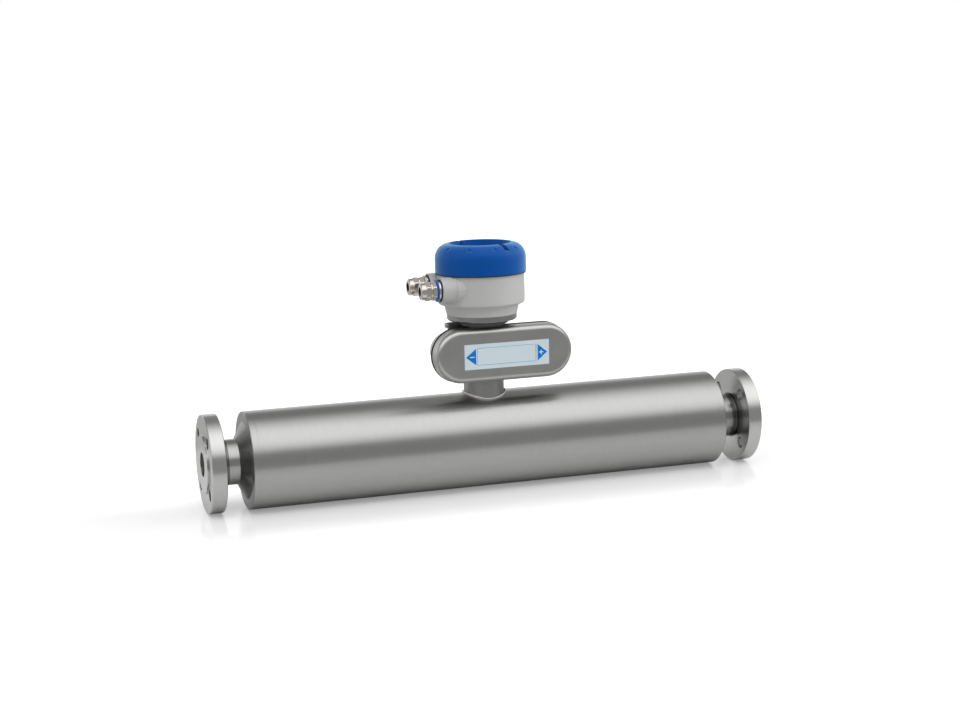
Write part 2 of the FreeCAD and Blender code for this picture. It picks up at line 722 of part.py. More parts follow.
def board_parts():
    """Transformer, chips, capacitors and the lead connector on the board."""
    face_y = BOARD_Y - BOARD_T
    row_w = TRANSFORMER_W + CHIP_COUNT * (CHIP_GAP + CHIP_SIZE)
    low_x = CASE_X - row_w / 2.0
    parts = [block((low_x, low_x + TRANSFORMER_W), (face_y - TRANSFORMER_T, face_y),
                   span(CASE_Z, TRANSFORMER_H))]
    chip_x = low_x + TRANSFORMER_W + CHIP_GAP + CHIP_SIZE / 2.0
    for i in range(CHIP_COUNT):
        x = chip_x + i * (CHIP_SIZE + CHIP_GAP)
        parts.append(block(span(x, CHIP_SIZE), (face_y - CHIP_T, face_y), span(CASE_Z, CHIP_SIZE)))
        spot = VECTOR(x, 0, CASE_Z + CHIP_SIZE / 2.0 + CAPACITOR_D)
        parts.append(rod("y", spot, face_y - CAPACITOR_T, face_y, CAPACITOR_D / 2.0))
    parts.append(block(span(MID_X, CONNECTOR_W), (BOARD_Y, BOARD_Y + CONNECTOR_T), span(CASE_Z, CONNECTOR_H)))
    return parts


def board_standoffs():
    """Standoffs from the rear shell to the board, with feet fitted to the shell's rounded floor."""
    hole_r = BOARD_SCREW_D / 2.0 + THREAD_FIT
    hollow = rear_inner()
    posts = []
    for spot in board_spots():
        post = rod("y", spot, BOARD_Y, REAR_FLOOR_Y, STANDOFF_D / 2.0).common(hollow)
        hole = rod("y", spot, BOARD_Y - OVERCUT, BOARD_Y + BOARD_SCREW_BITE + THREAD_FIT, hole_r)
        posts.append(post.cut(hole))
    return posts


def board_screws():
    """Screws that hold the board on its standoffs."""
    face_y = BOARD_Y - BOARD_T
    return [joined([rod("y", spot, face_y - BOARD_SCREW_HEAD_T, face_y, BOARD_SCREW_HEAD_D / 2.0),
                    rod("y", spot, face_y, BOARD_Y + BOARD_SCREW_BITE, BOARD_SCREW_D / 2.0)])
            for spot in board_spots()]


def lead_bundle():
    """Leads from the feedthrough past the board connector up to the terminals."""
    return rod("z", STEM, FEEDTHROUGH_TOP, TERMINAL_Z - LEAD_GAP, LEAD_D / 2.0)


# Neck

def neck_socket():
    """Socket welded on the case, with a flange, the earth lug and the spigot that the head turns on."""
    root = CASE_TOP_Z - SOCKET_ROOT
    shoulder = HEAD_FOOT_Z - SEAT_CLEARANCE
    flange_r = SOCKET_FLANGE_D / 2.0
    body = turned("z", STEM, [
        (root, CABLE_HOLE_D / 2.0), (root, SOCKET_D / 2.0), (FLANGE_TOP_Z - SOCKET_FLANGE_T, SOCKET_D / 2.0),
        (FLANGE_TOP_Z - SOCKET_FLANGE_T, flange_r), (FLANGE_TOP_Z, flange_r), (FLANGE_TOP_Z, SOCKET_D / 2.0),
        (shoulder, SOCKET_D / 2.0), (shoulder, SPIGOT_D / 2.0),
        (SPIGOT_TOP, SPIGOT_D / 2.0), (SPIGOT_TOP, CABLE_HOLE_D / 2.0)])
    face_x = earth_lug_face()
    lug = block((face_x, MID_X - SPIGOT_D / 2.0), span(0, EARTH_LUG_W), (root, FLANGE_TOP_Z))
    hole = rod("x", VECTOR(0, 0, EARTH_Z), face_x - OVERCUT, face_x + EARTH_SCREW_BITE + THREAD_FIT,
               EARTH_SCREW_D / 2.0 + THREAD_FIT)
    return joined([body, lug]).cut([hole] + case_envelope())


def swivel_collar():
    """Dark ring on the socket's flange, under the head."""
    return ring("z", STEM, FLANGE_TOP_Z, COLLAR_TOP, COLLAR_D / 2.0, SOCKET_D / 2.0)


def swivel_retainer():
    """Ring on the spigot that keeps the head on."""
    return ring("z", STEM, RETAINER_Z, RETAINER_Z + RETAINER_T, RETAINER_D / 2.0, SPIGOT_D / 2.0)


def earth_lug_face():
    """Place of the earth lug's end face, just outside the head's base ring."""
    return MID_X - BASE_RING_D / 2.0 - EARTH_STAND


def earth_screw():
    """Earth screw in the socket's lug."""
    spot = VECTOR(0, 0, EARTH_Z)
    face_x = earth_lug_face()
    head_end = face_x - EARTH_WASHER_T
    return joined([rod("x", spot, head_end - EARTH_HEAD_T, head_end, EARTH_HEAD_D / 2.0),
                   rod("x", spot, head_end, face_x + EARTH_SCREW_BITE, EARTH_SCREW_D / 2.0)])


def earth_washer():
    """Washer under the earth screw's head."""
    face_x = earth_lug_face()
    return ring("x", VECTOR(0, 0, EARTH_Z), face_x - EARTH_WASHER_T, face_x, EARTH_HEAD_D / 2.0,
                EARTH_SCREW_D / 2.0 + THREAD_FIT)


# Head

def swivel_hole_r():
    """Radius of the bore that runs on the spigot."""
    return SPIGOT_D / 2.0 + SWIVEL_CLEARANCE


def base_screw_spots():
    """Centres of the base ring screws."""
    return around(MID_X, BASE_SCREW_CIRCLE_D, BASE_SCREW_COUNT, 180.0 / BASE_SCREW_COUNT)


def terminal_spots():
    """Centres of the terminal board's posts."""
    return around(MID_X, TERMINAL_CIRCLE_D, TERMINAL_COUNT, 0)


def base_ring():
    """Ring under the housing, chamfered below."""
    ring_r = BASE_RING_D / 2.0
    body = turned("z", STEM, [
        (HEAD_FOOT_Z, swivel_hole_r()), (HEAD_FOOT_Z, ring_r - BASE_RING_CHAMFER),
        (HEAD_FOOT_Z + BASE_RING_CHAMFER, ring_r), (FLOOR_Z, ring_r), (FLOOR_Z, swivel_hole_r())])
    hole_r = BASE_SCREW_D / 2.0 + THREAD_FIT
    return body.cut([rod("z", spot, FLOOR_Z - BASE_SCREW_BITE - THREAD_FIT, FLOOR_Z + OVERCUT, hole_r)
                     for spot in base_screw_spots()])


def base_ring_screws():
    """Screws from inside the housing down into the base ring."""
    return [joined([rod("z", spot, FLOOR_Z - BASE_SCREW_BITE, FLOOR_TOP, BASE_SCREW_D / 2.0),
                    rod("z", spot, FLOOR_TOP, FLOOR_TOP + BASE_SCREW_HEAD_T, BASE_SCREW_HEAD_D / 2.0)])
            for spot in base_screw_spots()]


def gland_spot(side):
    """Point on a cable entry's axis at the boss face."""
    return VECTOR(BOSS_FACE_X, side * GLAND_SPACING / 2.0, GLAND_Z)


def boss_outer(side):
    """Boss of one cable entry with its wider foot and the fillet between them."""
    spot = gland_spot(side)
    foot = BOSS_FOOT_REACH - BOSS_FACE_REACH
    root = -BOSS_FACE_REACH / 2.0
    boss_r = BOSS_D / 2.0
    foot_r = BOSS_FOOT_D / 2.0
    bend = BOSS_FOOT_FILLET_R
    mid = bend * math.sqrt(0.5)
    return turned("gland", spot, [
        (root, 0), (root, foot_r), (foot, foot_r), (foot, boss_r + bend),
        (foot + bend - mid, boss_r + bend - mid, "arc"), (foot + bend, boss_r), (0, boss_r), (0, 0)])


def housing_outer():
    """Filled outer form of the housing with its bosses."""
    corner_z = STEP_Z + HOUSING_CORNER_R
    corner_r = HOUSING_D / 2.0 - HOUSING_CORNER_R
    body = turned("z", STEM, [
        (FLOOR_Z, 0), (FLOOR_Z, HOUSING_FOOT_D / 2.0), (STEP_Z, CONE_TOP_D / 2.0), (STEP_Z, corner_r),
        arc_middle(corner_z, corner_r, HOUSING_CORNER_R, -45), (corner_z, HOUSING_D / 2.0),
        (SHOULDER_Z, HOUSING_D / 2.0), (SHOULDER_Z, THREAD_D / 2.0),
        (SHOULDER_Z + THREAD_H, THREAD_D / 2.0), (SHOULDER_Z + THREAD_H, 0)])
    above = block((MID_X - 2.0 * BOSS_FACE_REACH, MID_X), span(0, 2.0 * (GLAND_SPACING + BOSS_FOOT_D)),
                  (SHOULDER_Z, SHOULDER_Z + BOSS_FOOT_D))
    return joined([body] + [boss_outer(side).cut(above) for side in (-1, 1)])


def housing():
    """Head housing with its cavity, entries, posts and screw holes."""
    cavity = turned("z", STEM, [
        (FLOOR_TOP, 0), (FLOOR_TOP, FOOT_CAVITY_D / 2.0), (STEP_Z, FOOT_CAVITY_D / 2.0),
        (STEP_Z + HOUSING_FLOOR_T, CAVITY_D / 2.0), (SHOULDER_Z + THREAD_H + OVERCUT, CAVITY_D / 2.0),
        (SHOULDER_Z + THREAD_H + OVERCUT, 0)])
    cuts = [cavity, rod("z", STEM, FLOOR_Z - OVERCUT, FLOOR_TOP + OVERCUT, swivel_hole_r())]
    entry_r = GLAND_HOLE_D / 2.0 + THREAD_FIT
    for side in (-1, 1):
        cuts.append(rod("gland", gland_spot(side), -BOSS_FACE_REACH, OVERCUT, entry_r))
    shell = housing_outer().cut(cuts)
    posts = [rod("z", spot, FLOOR_Z + HOUSING_FLOOR_T / 2.0, TERMINAL_Z, TERMINAL_POST_D / 2.0)
             for spot in terminal_spots()]
    hole_r = BASE_SCREW_D / 2.0 + SCREW_CLEARANCE
    screw_holes = [rod("z", spot, FLOOR_Z - OVERCUT, FLOOR_TOP + OVERCUT, hole_r)
                   for spot in base_screw_spots()]
    screw_holes += [rod("z", spot, TERMINAL_Z - TERMINAL_SCREW_BITE - THREAD_FIT, TERMINAL_Z + OVERCUT,
                        TERMINAL_SCREW_D / 2.0 + THREAD_FIT) for spot in terminal_spots()]
    return joined([shell] + posts).cut(screw_holes)


def terminal_board():
    """Round board on the posts."""
    board = rod("z", STEM, TERMINAL_Z, TERMINAL_TOP, TERMINAL_BOARD_D / 2.0)
    return board.cut([rod("z", spot, TERMINAL_Z - OVERCUT, TERMINAL_TOP + OVERCUT,
                          TERMINAL_SCREW_D / 2.0 + SCREW_CLEARANCE) for spot in terminal_spots()])


def terminal_block():
    """Terminal block with one wire hole per way."""
    body = block(span(MID_X, BLOCK_W), span(0, BLOCK_DEPTH), (TERMINAL_TOP, TERMINAL_TOP + BLOCK_H))
    top = TERMINAL_TOP + BLOCK_H
    pitch = BLOCK_W / BLOCK_WAYS
    ways = [rod("z", VECTOR(MID_X - BLOCK_W / 2.0 + (i + 0.5) * pitch, 0, 0), top - BLOCK_WAY_DEPTH,
                top + OVERCUT, BLOCK_WAY_D / 2.0) for i in range(BLOCK_WAYS)]
    return body.cut(ways)


def terminal_screws():
    """Screws that hold the terminal board on its posts."""
    return [joined([rod("z", spot, TERMINAL_Z - TERMINAL_SCREW_BITE, TERMINAL_TOP, TERMINAL_SCREW_D / 2.0),
                    rod("z", spot, TERMINAL_TOP, TERMINAL_TOP + TERMINAL_HEAD_T, TERMINAL_HEAD_D / 2.0)])
            for spot in terminal_spots()]


# Glands, measured outward from the boss face

def gland_rings(start, thickness, outer_d):
    """One flat ring on each gland's shank."""
    inner_r = GLAND_HOLE_D / 2.0 + THREAD_FIT
    return [ring("gland", gland_spot(side), start, start + thickness, outer_d / 2.0, inner_r)
            for side in (-1, 1)]


def chamfered_hexagon(side, start, end):
    """Hexagon bar with turned corners."""
    spot = gland_spot(side)
    flat_r = GLAND_HEX_AF / 2.0
    corner_r = GLAND_HEX_CORNER_D / 2.0
    chamfer = corner_r - flat_r
    turning = turned("gland", spot, [
        (start, 0), (start, flat_r), (start + chamfer, corner_r), (end - chamfer, corner_r), (end, flat_r),
        (end, 0)])
    return hexagon("gland", spot, start, end, GLAND_HEX_AF).common(turning)


def gland_body(side):
    """Gland body: shank in the boss, hexagon and threaded neck."""
    spot = gland_spot(side)
    shank = rod("gland", spot, -GLAND_SHANK_LENGTH, BODY_HEX_START, GLAND_HOLE_D / 2.0)
    neck_part = rod("gland", spot, BODY_HEX_START, GLAND_NECK_END, GLAND_NECK_D / 2.0)
    body = joined([chamfered_hexagon(side, BODY_HEX_START, BODY_HEX_END), shank, neck_part])
    return body.cut(rod("gland", spot, -GLAND_SHANK_LENGTH - OVERCUT, NUT_END, GLAND_BORE_D / 2.0))


def gland_nut(side):
    """Dome nut with hexagon, collar and a rounded tip."""
    spot = gland_spot(side)
    collar = rod("gland", spot, NUT_START, NUT_HEX_START, NUT_COLLAR_D / 2.0)
    dome_r = NUT_DOME_D / 2.0
    tip_r = NUT_TIP_D / 2.0
    bend = dome_r - tip_r
    dome = turned("gland", spot, [
        (NUT_HEX_END, 0), (NUT_HEX_END, dome_r), (NUT_END - bend, dome_r),
        arc_middle(NUT_END - bend, tip_r, bend, 45), (NUT_END, tip_r), (NUT_END, 0)])
    body = joined([collar, chamfered_hexagon(side, NUT_HEX_START, NUT_HEX_END), dome])
    thread = rod("gland", spot, NUT_START - OVERCUT, NUT_CEILING, GLAND_NECK_D / 2.0 + THREAD_CLEARANCE)
    return body.cut([thread, rod("gland", spot, NUT_START, NUT_END + OVERCUT, NUT_TIP_HOLE_D / 2.0)])


def gland_insert(side):
    """Rubber insert that grips the cable."""
    spot = gland_spot(side)
    flange_end = NUT_CEILING - INSERT_FLANGE_GAP
    flange_start = flange_end - INSERT_FLANGE_T
    plug_r = GLAND_BORE_D / 2.0 - THREAD_CLEARANCE
    nose_r = NUT_TIP_HOLE_D / 2.0 - THREAD_CLEARANCE
    cable_r = CABLE_D / 2.0
    return turned("gland", spot, [
        (flange_start - INSERT_PLUG_LENGTH, cable_r), (flange_start - INSERT_PLUG_LENGTH, plug_r),
        (flange_start, plug_r), (flange_start, GLAND_NECK_D / 2.0), (flange_end, GLAND_NECK_D / 2.0),
        (flange_end, nose_r), (NUT_END - THREAD_CLEARANCE, nose_r), (NUT_END - THREAD_CLEARANCE, cable_r)])


# Cap

def cap_seal():
    """Flat seal ring between cap and housing."""
    start = SHOULDER_Z + CAP_SEAL_GAP
    return ring("z", STEM, start, start + CAP_SEAL_T, CAP_SEAL_D / 2.0, CAP_THREAD_R)


def cap():
    """Screw cap with crater, tool slots and dimples."""
    cap_r = CAP_D / 2.0
    shoulder_z = CAP_TOP_Z - CAP_SHOULDER_R
    body = turned("z", STEM, [
        (CAP_FOOT_Z, CAP_THREAD_R), (CAP_FOOT_Z, cap_r - CAP_EDGE), (CAP_FOOT_Z + CAP_EDGE, cap_r),
        (shoulder_z, cap_r), arc_middle(shoulder_z, CRATER_R, CAP_SHOULDER_R, 45), (CAP_TOP_Z, CRATER_R),
        (CRATER_FLOOR_Z, CRATER_R - CRATER_TAPER), (CRATER_FLOOR_Z, 0), (CAP_ROOF_Z, 0),
        (CAP_ROOF_Z, CAP_THREAD_R - CAP_INNER_CHAMFER), (CAP_ROOF_Z - CAP_INNER_CHAMFER, CAP_THREAD_R)])
    return body.cut(cap_slots() + cap_dimples())


def cap_slots():
    """Cutters for the tool slots in the crater rim."""
    slots = []
    for i in range(CAP_SLOT_COUNT):
        cutter = block((MID_X + CRATER_R - CRATER_TAPER - OVERCUT, MID_X + CRATER_R + CAP_SLOT_REACH),
                       span(0, CAP_SLOT_W), (CAP_TOP_Z - CAP_SLOT_DEPTH, CAP_TOP_Z + OVERCUT))
        cutter.rotate(STEM, AXES["z"][0], CAP_SLOT_ANGLE + 360.0 * i / CAP_SLOT_COUNT)
        slots.append(cutter)
    return slots


def cap_dimples():
    """Cutters for the shallow round dimples on the shoulder."""
    angle = math.radians(DIMPLE_ANGLE)
    reach = CAP_SHOULDER_R + DIMPLE_BALL_R - DIMPLE_DEPTH
    circle_d = 2.0 * (CRATER_R + reach * math.cos(angle))
    ball_z = CAP_TOP_Z - CAP_SHOULDER_R + reach * math.sin(angle)
    first = CAP_SLOT_ANGLE + 180.0 / DIMPLE_COUNT
    return [Part.makeSphere(DIMPLE_BALL_R, spot + AXES["z"][0] * ball_z)
            for spot in around(MID_X, circle_d, DIMPLE_COUNT, first)]


def build_flow_line():
    """Flanges, necks, body, tubes and what sits on the tubes."""
    save_pair("flange", flange())
    save_pair("neck", neck())
    save_pair("end_cap", end_cap())
    save_pair("splitter", splitter())
    save_pair("brace_plate", brace_plate())
    save("body_tube", [body_tube()])
    save("measuring_tube_1", [measuring_tube(-1)])
    save("measuring_tube_2", [measuring_tube(1)])
    spots = {"inlet_pickup": MID_X - PICKUP_OFFSET, "drive": MID_X, "outlet_pickup": MID_X + PICKUP_OFFSET}
    save("coil_brackets", [bracket(x, -1) for x in spots.values()])
    save("magnet_brackets", [bracket(x, 1) for x in spots.values()])
    for name, x in spots.items():
        save(name + "_coil", [coil(x)])
        save(name + "_magnet", [magnet(x)])
    save("temperature_sensor", [temperature_sensor()])
    save("sensor_loom", [loom()])


def build_case():
    """Stem, oval case, label and electronics."""
    save("stem_tube", [stem_tube()])
    save("stem_weld", [stem_weld()])
    save("feedthrough", [feedthrough()])
    save("case_rear_shell", [rear_shell()])
    save("case_front_cover", [front_cover()])
    save("case_gasket", gasket())
    save("case_screws", case_screws())
    save("label_plate", [label()])
    save("main_board", [main_board()])
    save("board_parts", board_parts())
    save("board_standoffs", board_standoffs())
    save("board_screws", board_screws())
    save("lead_bundle", [lead_bundle()])


def build_neck():
    """Socket, collar, retaining ring and earth screw."""
    save("neck_socket", [neck_socket()])
    save("swivel_collar", [swivel_collar()])
    save("swivel_retainer", [swivel_retainer()])
    save("earth_screw", [earth_screw()])
    save("earth_washer", [earth_washer()])


def build_head():
    """Base ring, housing, terminals, glands and cap."""
    save("head_base_ring", [base_ring()])
    save("base_ring_screws", base_ring_screws())
    save("head_housing", [housing()])
    save("terminal_board", [terminal_board()])
    save("terminal_block", [terminal_block()])
    save("terminal_screws", terminal_screws())
    save("gland_seal_rings", gland_rings(0, GLAND_SEAL_T, GLAND_SEAL_D))
    save("gland_washers", gland_rings(GLAND_SEAL_T, WASHER_T, WASHER_D))
    save("gland_marker_rings", gland_rings(MARKER_START, MARKER_T, MARKER_D))
    for number, side in ((1, -1), (2, 1)):
        save("gland_%d_body" % number, [gland_body(side)])
        save("gland_%d_insert" % number, [gland_insert(side)])
        save("gland_%d_nut" % number, [gland_nut(side)])
    save("cap_seal", [cap_seal()])
    save("cap", [cap()])


def main():
    os.makedirs("parts", exist_ok=True)
    build_flow_line()
    build_case()
    build_neck()
    build_head()


main()
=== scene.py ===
"""Coriolis flow meter: finishes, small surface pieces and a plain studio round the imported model."""

import json
import logging
import math
from dataclasses import dataclass, field
from enum import Enum

import bmesh
import bpy
import numpy as np
from mathutils import Matrix, Vector

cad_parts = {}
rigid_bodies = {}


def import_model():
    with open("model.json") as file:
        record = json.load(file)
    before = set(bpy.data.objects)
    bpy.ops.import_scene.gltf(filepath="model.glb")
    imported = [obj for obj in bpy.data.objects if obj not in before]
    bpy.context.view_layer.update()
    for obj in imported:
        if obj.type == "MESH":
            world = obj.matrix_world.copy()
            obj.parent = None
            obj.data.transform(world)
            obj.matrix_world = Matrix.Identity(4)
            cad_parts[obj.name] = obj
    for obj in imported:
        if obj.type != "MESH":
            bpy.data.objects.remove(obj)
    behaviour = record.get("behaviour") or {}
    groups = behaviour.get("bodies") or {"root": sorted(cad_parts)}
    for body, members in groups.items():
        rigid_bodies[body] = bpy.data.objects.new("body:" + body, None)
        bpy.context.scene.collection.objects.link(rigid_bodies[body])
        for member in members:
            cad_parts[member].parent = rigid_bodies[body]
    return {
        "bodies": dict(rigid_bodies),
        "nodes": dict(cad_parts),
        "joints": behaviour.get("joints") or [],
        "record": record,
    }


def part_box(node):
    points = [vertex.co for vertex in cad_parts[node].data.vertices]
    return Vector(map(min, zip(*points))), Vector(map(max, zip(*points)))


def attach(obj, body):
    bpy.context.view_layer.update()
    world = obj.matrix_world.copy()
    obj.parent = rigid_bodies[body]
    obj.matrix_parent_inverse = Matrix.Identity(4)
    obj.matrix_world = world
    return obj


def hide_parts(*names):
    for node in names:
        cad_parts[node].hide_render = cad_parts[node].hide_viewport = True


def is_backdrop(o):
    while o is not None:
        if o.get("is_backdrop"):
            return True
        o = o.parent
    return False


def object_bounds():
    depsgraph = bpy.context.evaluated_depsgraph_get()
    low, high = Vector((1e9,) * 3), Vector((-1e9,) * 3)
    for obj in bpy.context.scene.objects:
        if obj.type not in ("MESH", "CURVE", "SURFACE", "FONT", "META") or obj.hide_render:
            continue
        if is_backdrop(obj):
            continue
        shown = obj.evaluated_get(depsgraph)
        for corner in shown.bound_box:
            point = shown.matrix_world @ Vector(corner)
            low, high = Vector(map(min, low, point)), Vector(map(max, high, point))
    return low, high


LOG = logging.getLogger("flow_meter")
MM = 0.001
MERGE_REACH = 1e-7
SHORTEST_EDGE = 1e-8
AXIS_REACH = 1e-5
QUARTER_TURN = 0.25
WHITE = (1.0, 1.0, 1.0, 1.0)
Colour = tuple[float, float, float]
Point = tuple[float, float, float]
Socket = bpy.types.NodeSocket


@dataclass(frozen=True)
class Box:
    """Lowest and highest corner of a CAD node at rest, in metres."""

    low: Vector
    high: Vector

    @classmethod
    def of(cls, node: str) -> "Box":
        """Returns the box of one node of the frame."""
        return cls(*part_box(node))

    @property
    def middle(self) -> Vector:
        """The box's centre."""
        return (self.low + self.high) / 2.0

    @property
    def size(self) -> Vector:
        """The box's lengths along x, y and z."""
        return self.high - self.low


def box_of(node: str) -> Box:
    """Dataclass field that holds a node's box, read from the frame when the class is used."""
    return field(default_factory=lambda: Box.of(node))


class Axis(Enum):
    """Line that a surface was worked around: the letter of its row axis, and a node that lies on it."""

    PIPE = ("X", "inlet_flange")
    STEM = ("Z", "stem_tube")
    GLAND = ("X", "gland_2_body")

    def __init__(self, letter: str, node: str) -> None:
        """Takes the letter and the node."""
        self.letter = letter
        self.node = node

    def centre(self) -> Vector:
        """Returns a point of the line. For the glands it is the rear one's, which the front one mirrors."""
        return Box.of(self.node).middle


class Mix(Enum):
    """What a pattern is multiplied into."""

    COLOUR = "colour"
    ROUGHNESS = "roughness"


class Graph:
    """Short calls for the node tree of one material or of the world."""

    def __init__(self, owner: bpy.types.ID) -> None:
        """Empties the owner's node tree.

        Args:
            owner: the material or world.
        """
        owner.use_nodes = True
        self.tree = owner.node_tree
        self.tree.nodes.clear()

    def node(self, kind: str, inputs: dict | None = None, **settings: object) -> bpy.types.Node:
        """Adds one shader node.

        Args:
            kind: the node's type name, without its ShaderNode start.
            inputs: socket name or number to a value or to another node's output.
            settings: the node's own properties.

        Returns:
            The new node.
        """
        made = self.tree.nodes.new("ShaderNode" + kind)
        for key, value in settings.items():
            setattr(made, key, value)
        for key, value in (inputs or {}).items():
            if isinstance(value, Socket):
                self.tree.links.new(value, made.inputs[key])
            else:
                made.inputs[key].default_value = value
        return made

    def math(self, operation: str, *values: object, clamp: bool = False) -> Socket:
        """Adds a Math node on values or sockets, and returns its output."""
        inputs = {i: value for i, value in enumerate(values)}
        return self.node("Math", inputs, operation=operation, use_clamp=clamp).outputs[0]

    def product(self, *factors: object) -> Socket:
        """Multiplies two or more factors.

        Args:
            factors: values or sockets, of which at least one is a socket.

        Returns:
            The product's socket.
        """
        result = factors[0]
        for factor in factors[1:]:
            result = self.math("MULTIPLY", result, factor)
        return result

    def mixture(self, first: Socket, second: Socket, share: float) -> Socket:
        """Adds the share of a first pattern to the rest of a second, and returns the sum."""
        return self.math("ADD", self.product(first, share), self.product(second, 1.0 - share))

    def scaled(self, colour: Socket | Colour, factor: Socket) -> Socket:
        """Multiplies a colour by a number, and returns the product."""
        return self.node("VectorMath", {0: colour, "Scale": factor}, operation="SCALE").outputs[0]

    def noise(self, vector: Socket, scale: float, detail: float) -> Socket:
        """Adds a noise texture, and returns its value from 0 to 1."""
        inputs = {"Vector": vector, "Scale": scale, "Detail": detail}
        return self.node("TexNoise", inputs).outputs[0]

    def ramp(self, value: Socket, low: float, high: float, to_low: float, to_high: float) -> Socket:
        """Maps a value smoothly from low..high to to_low..to_high, and returns it."""
        inputs = {"Value": value, "From Min": low, "From Max": high, "To Min": to_low, "To Max": to_high}
        return self.node("MapRange", inputs, interpolation_type="SMOOTHSTEP").outputs[0]

    def within(self, value: Socket, low: float, high: float, fade: float) -> Socket:
        """Marks where a value lies within limits.

        Args:
            value: the value.
            low: lower limit.
            high: upper limit.
            fade: reach over which the mark falls off outside each limit.

        Returns:
            1 from low to high and 0 beyond the fades.
        """
        rise = self.ramp(value, low - fade, low, 0.0, 1.0)
        fall = self.ramp(value, high, high + fade, 1.0, 0.0)
        return self.product(rise, fall)

    def object_coordinates(self) -> Socket:
        """Returns the object's own coordinates, in metres."""
        return self.node("TexCoord").outputs["Object"]

    def separated(self, vector: Socket) -> bpy.types.NodeOutputs:
        """Returns the three parts of a vector."""
        return self.node("SeparateXYZ", {0: vector}).outputs

    def turned_coordinates(self, axis: Axis, along: float, round_about: float) -> Socket:
        """Coordinates in which lines that run round an axis are stretched.

        The first coordinate is the place along the axis plus the distance from it, so lines run round on
        cylinders, cones and end faces alike. The other two are the direction from the axis, so there is
        no seam.

        Args:
            axis: the axis that the lines run round.
            along: pattern cells per metre across the lines.
            round_about: pattern cells per radian along the lines.

        Returns:
            The vector socket for a texture.
        """
        x, y, z = self.separated(self.object_coordinates())
        centre = axis.centre()
        if axis is Axis.GLAND:
            y = self.math("ABSOLUTE", y)
        aside = self.math("SUBTRACT", y, centre.y)
        if axis is Axis.STEM:
            place, other = z, self.math("SUBTRACT", x, centre.x)
        else:
            place, other = x, self.math("SUBTRACT", z, centre.z)
        squares = self.math("ADD", self.product(aside, aside), self.product(other, other))
        reach = self.math("ADD", self.math("SQRT", squares), AXIS_REACH)
        across = self.product(self.math("ADD", place, reach), along)
        turn_a = self.product(self.math("DIVIDE", aside, reach), round_about)
        turn_b = self.product(self.math("DIVIDE", other, reach), round_about)
        return self.node("CombineXYZ", {0: across, 1: turn_a, 2: turn_b}).outputs[0]

    def varied(self, value: Socket, base: float | Colour, share: float, into: Mix) -> Socket:
        """Multiplies a base colour or number by 1 minus share to 1 plus share along a pattern.

        Args:
            value: the pattern, from 0 to 1.
            base: the colour or number.
            share: how far it strays each way.
            into: which of the two the base is.

        Returns:
            The varied colour or number.
        """
        limits = {"To Min": 1.0 - share, "To Max": 1.0 + share}
        factor = self.node("MapRange", {"Value": value, **limits}).outputs[0]
        if into is Mix.ROUGHNESS:
            return self.math("MULTIPLY", factor, base, clamp=True)
        return self.scaled(base, factor)

    def bump(self, height: Socket, depth: float, strength: float, normal: Socket) -> Socket:
        """Adds a bump of a depth in metres on a normal, and returns the new normal."""
        inputs = {"Height": height, "Distance": depth, "Strength": strength, "Normal": normal}
        return self.node("Bump", inputs).outputs[0]

    def soft_edge(self, radius: float) -> Socket:
        """Normal that rounds sharp edges by a radius in metres, so that they catch light."""
        return self.node("Bevel", {"Radius": radius}, samples=4).outputs[0]


@dataclass(frozen=True)
class Finish:
    """What every finish has: a name, its colour, gloss and edge radius."""

    name: str
    colour: Colour
    roughness: float
    edge: float = 0.25 * MM

    def shade(self, graph: Graph) -> dict:
        """Sets the shader's inputs. Each kind of finish has its own way.

        Args:
            graph: the material's graph.

        Returns:
            The name of each input that is set, with its value or socket.
        """
        raise NotImplementedError

    def build(self) -> bpy.types.Material:
        """Makes the material, once.

        Returns:
            The material of this finish.
        """
        made = bpy.data.materials.get(self.name)
        if made is None:
            made = bpy.data.materials.new(self.name)
            graph = Graph(made)
            shader = graph.node("BsdfPrincipled", self.shade(graph))
            graph.node("OutputMaterial", {0: shader.outputs[0]})
            made.diffuse_color = (*self.colour, 1.0)
        return made

    def put_on(self, *pieces: bpy.types.Object) -> None:
        """Gives pieces this finish as their one material.

        Args:
            pieces: the pieces.
        """
        for piece in pieces:
            piece.data.materials.clear()
            piece.data.materials.append(self.build())


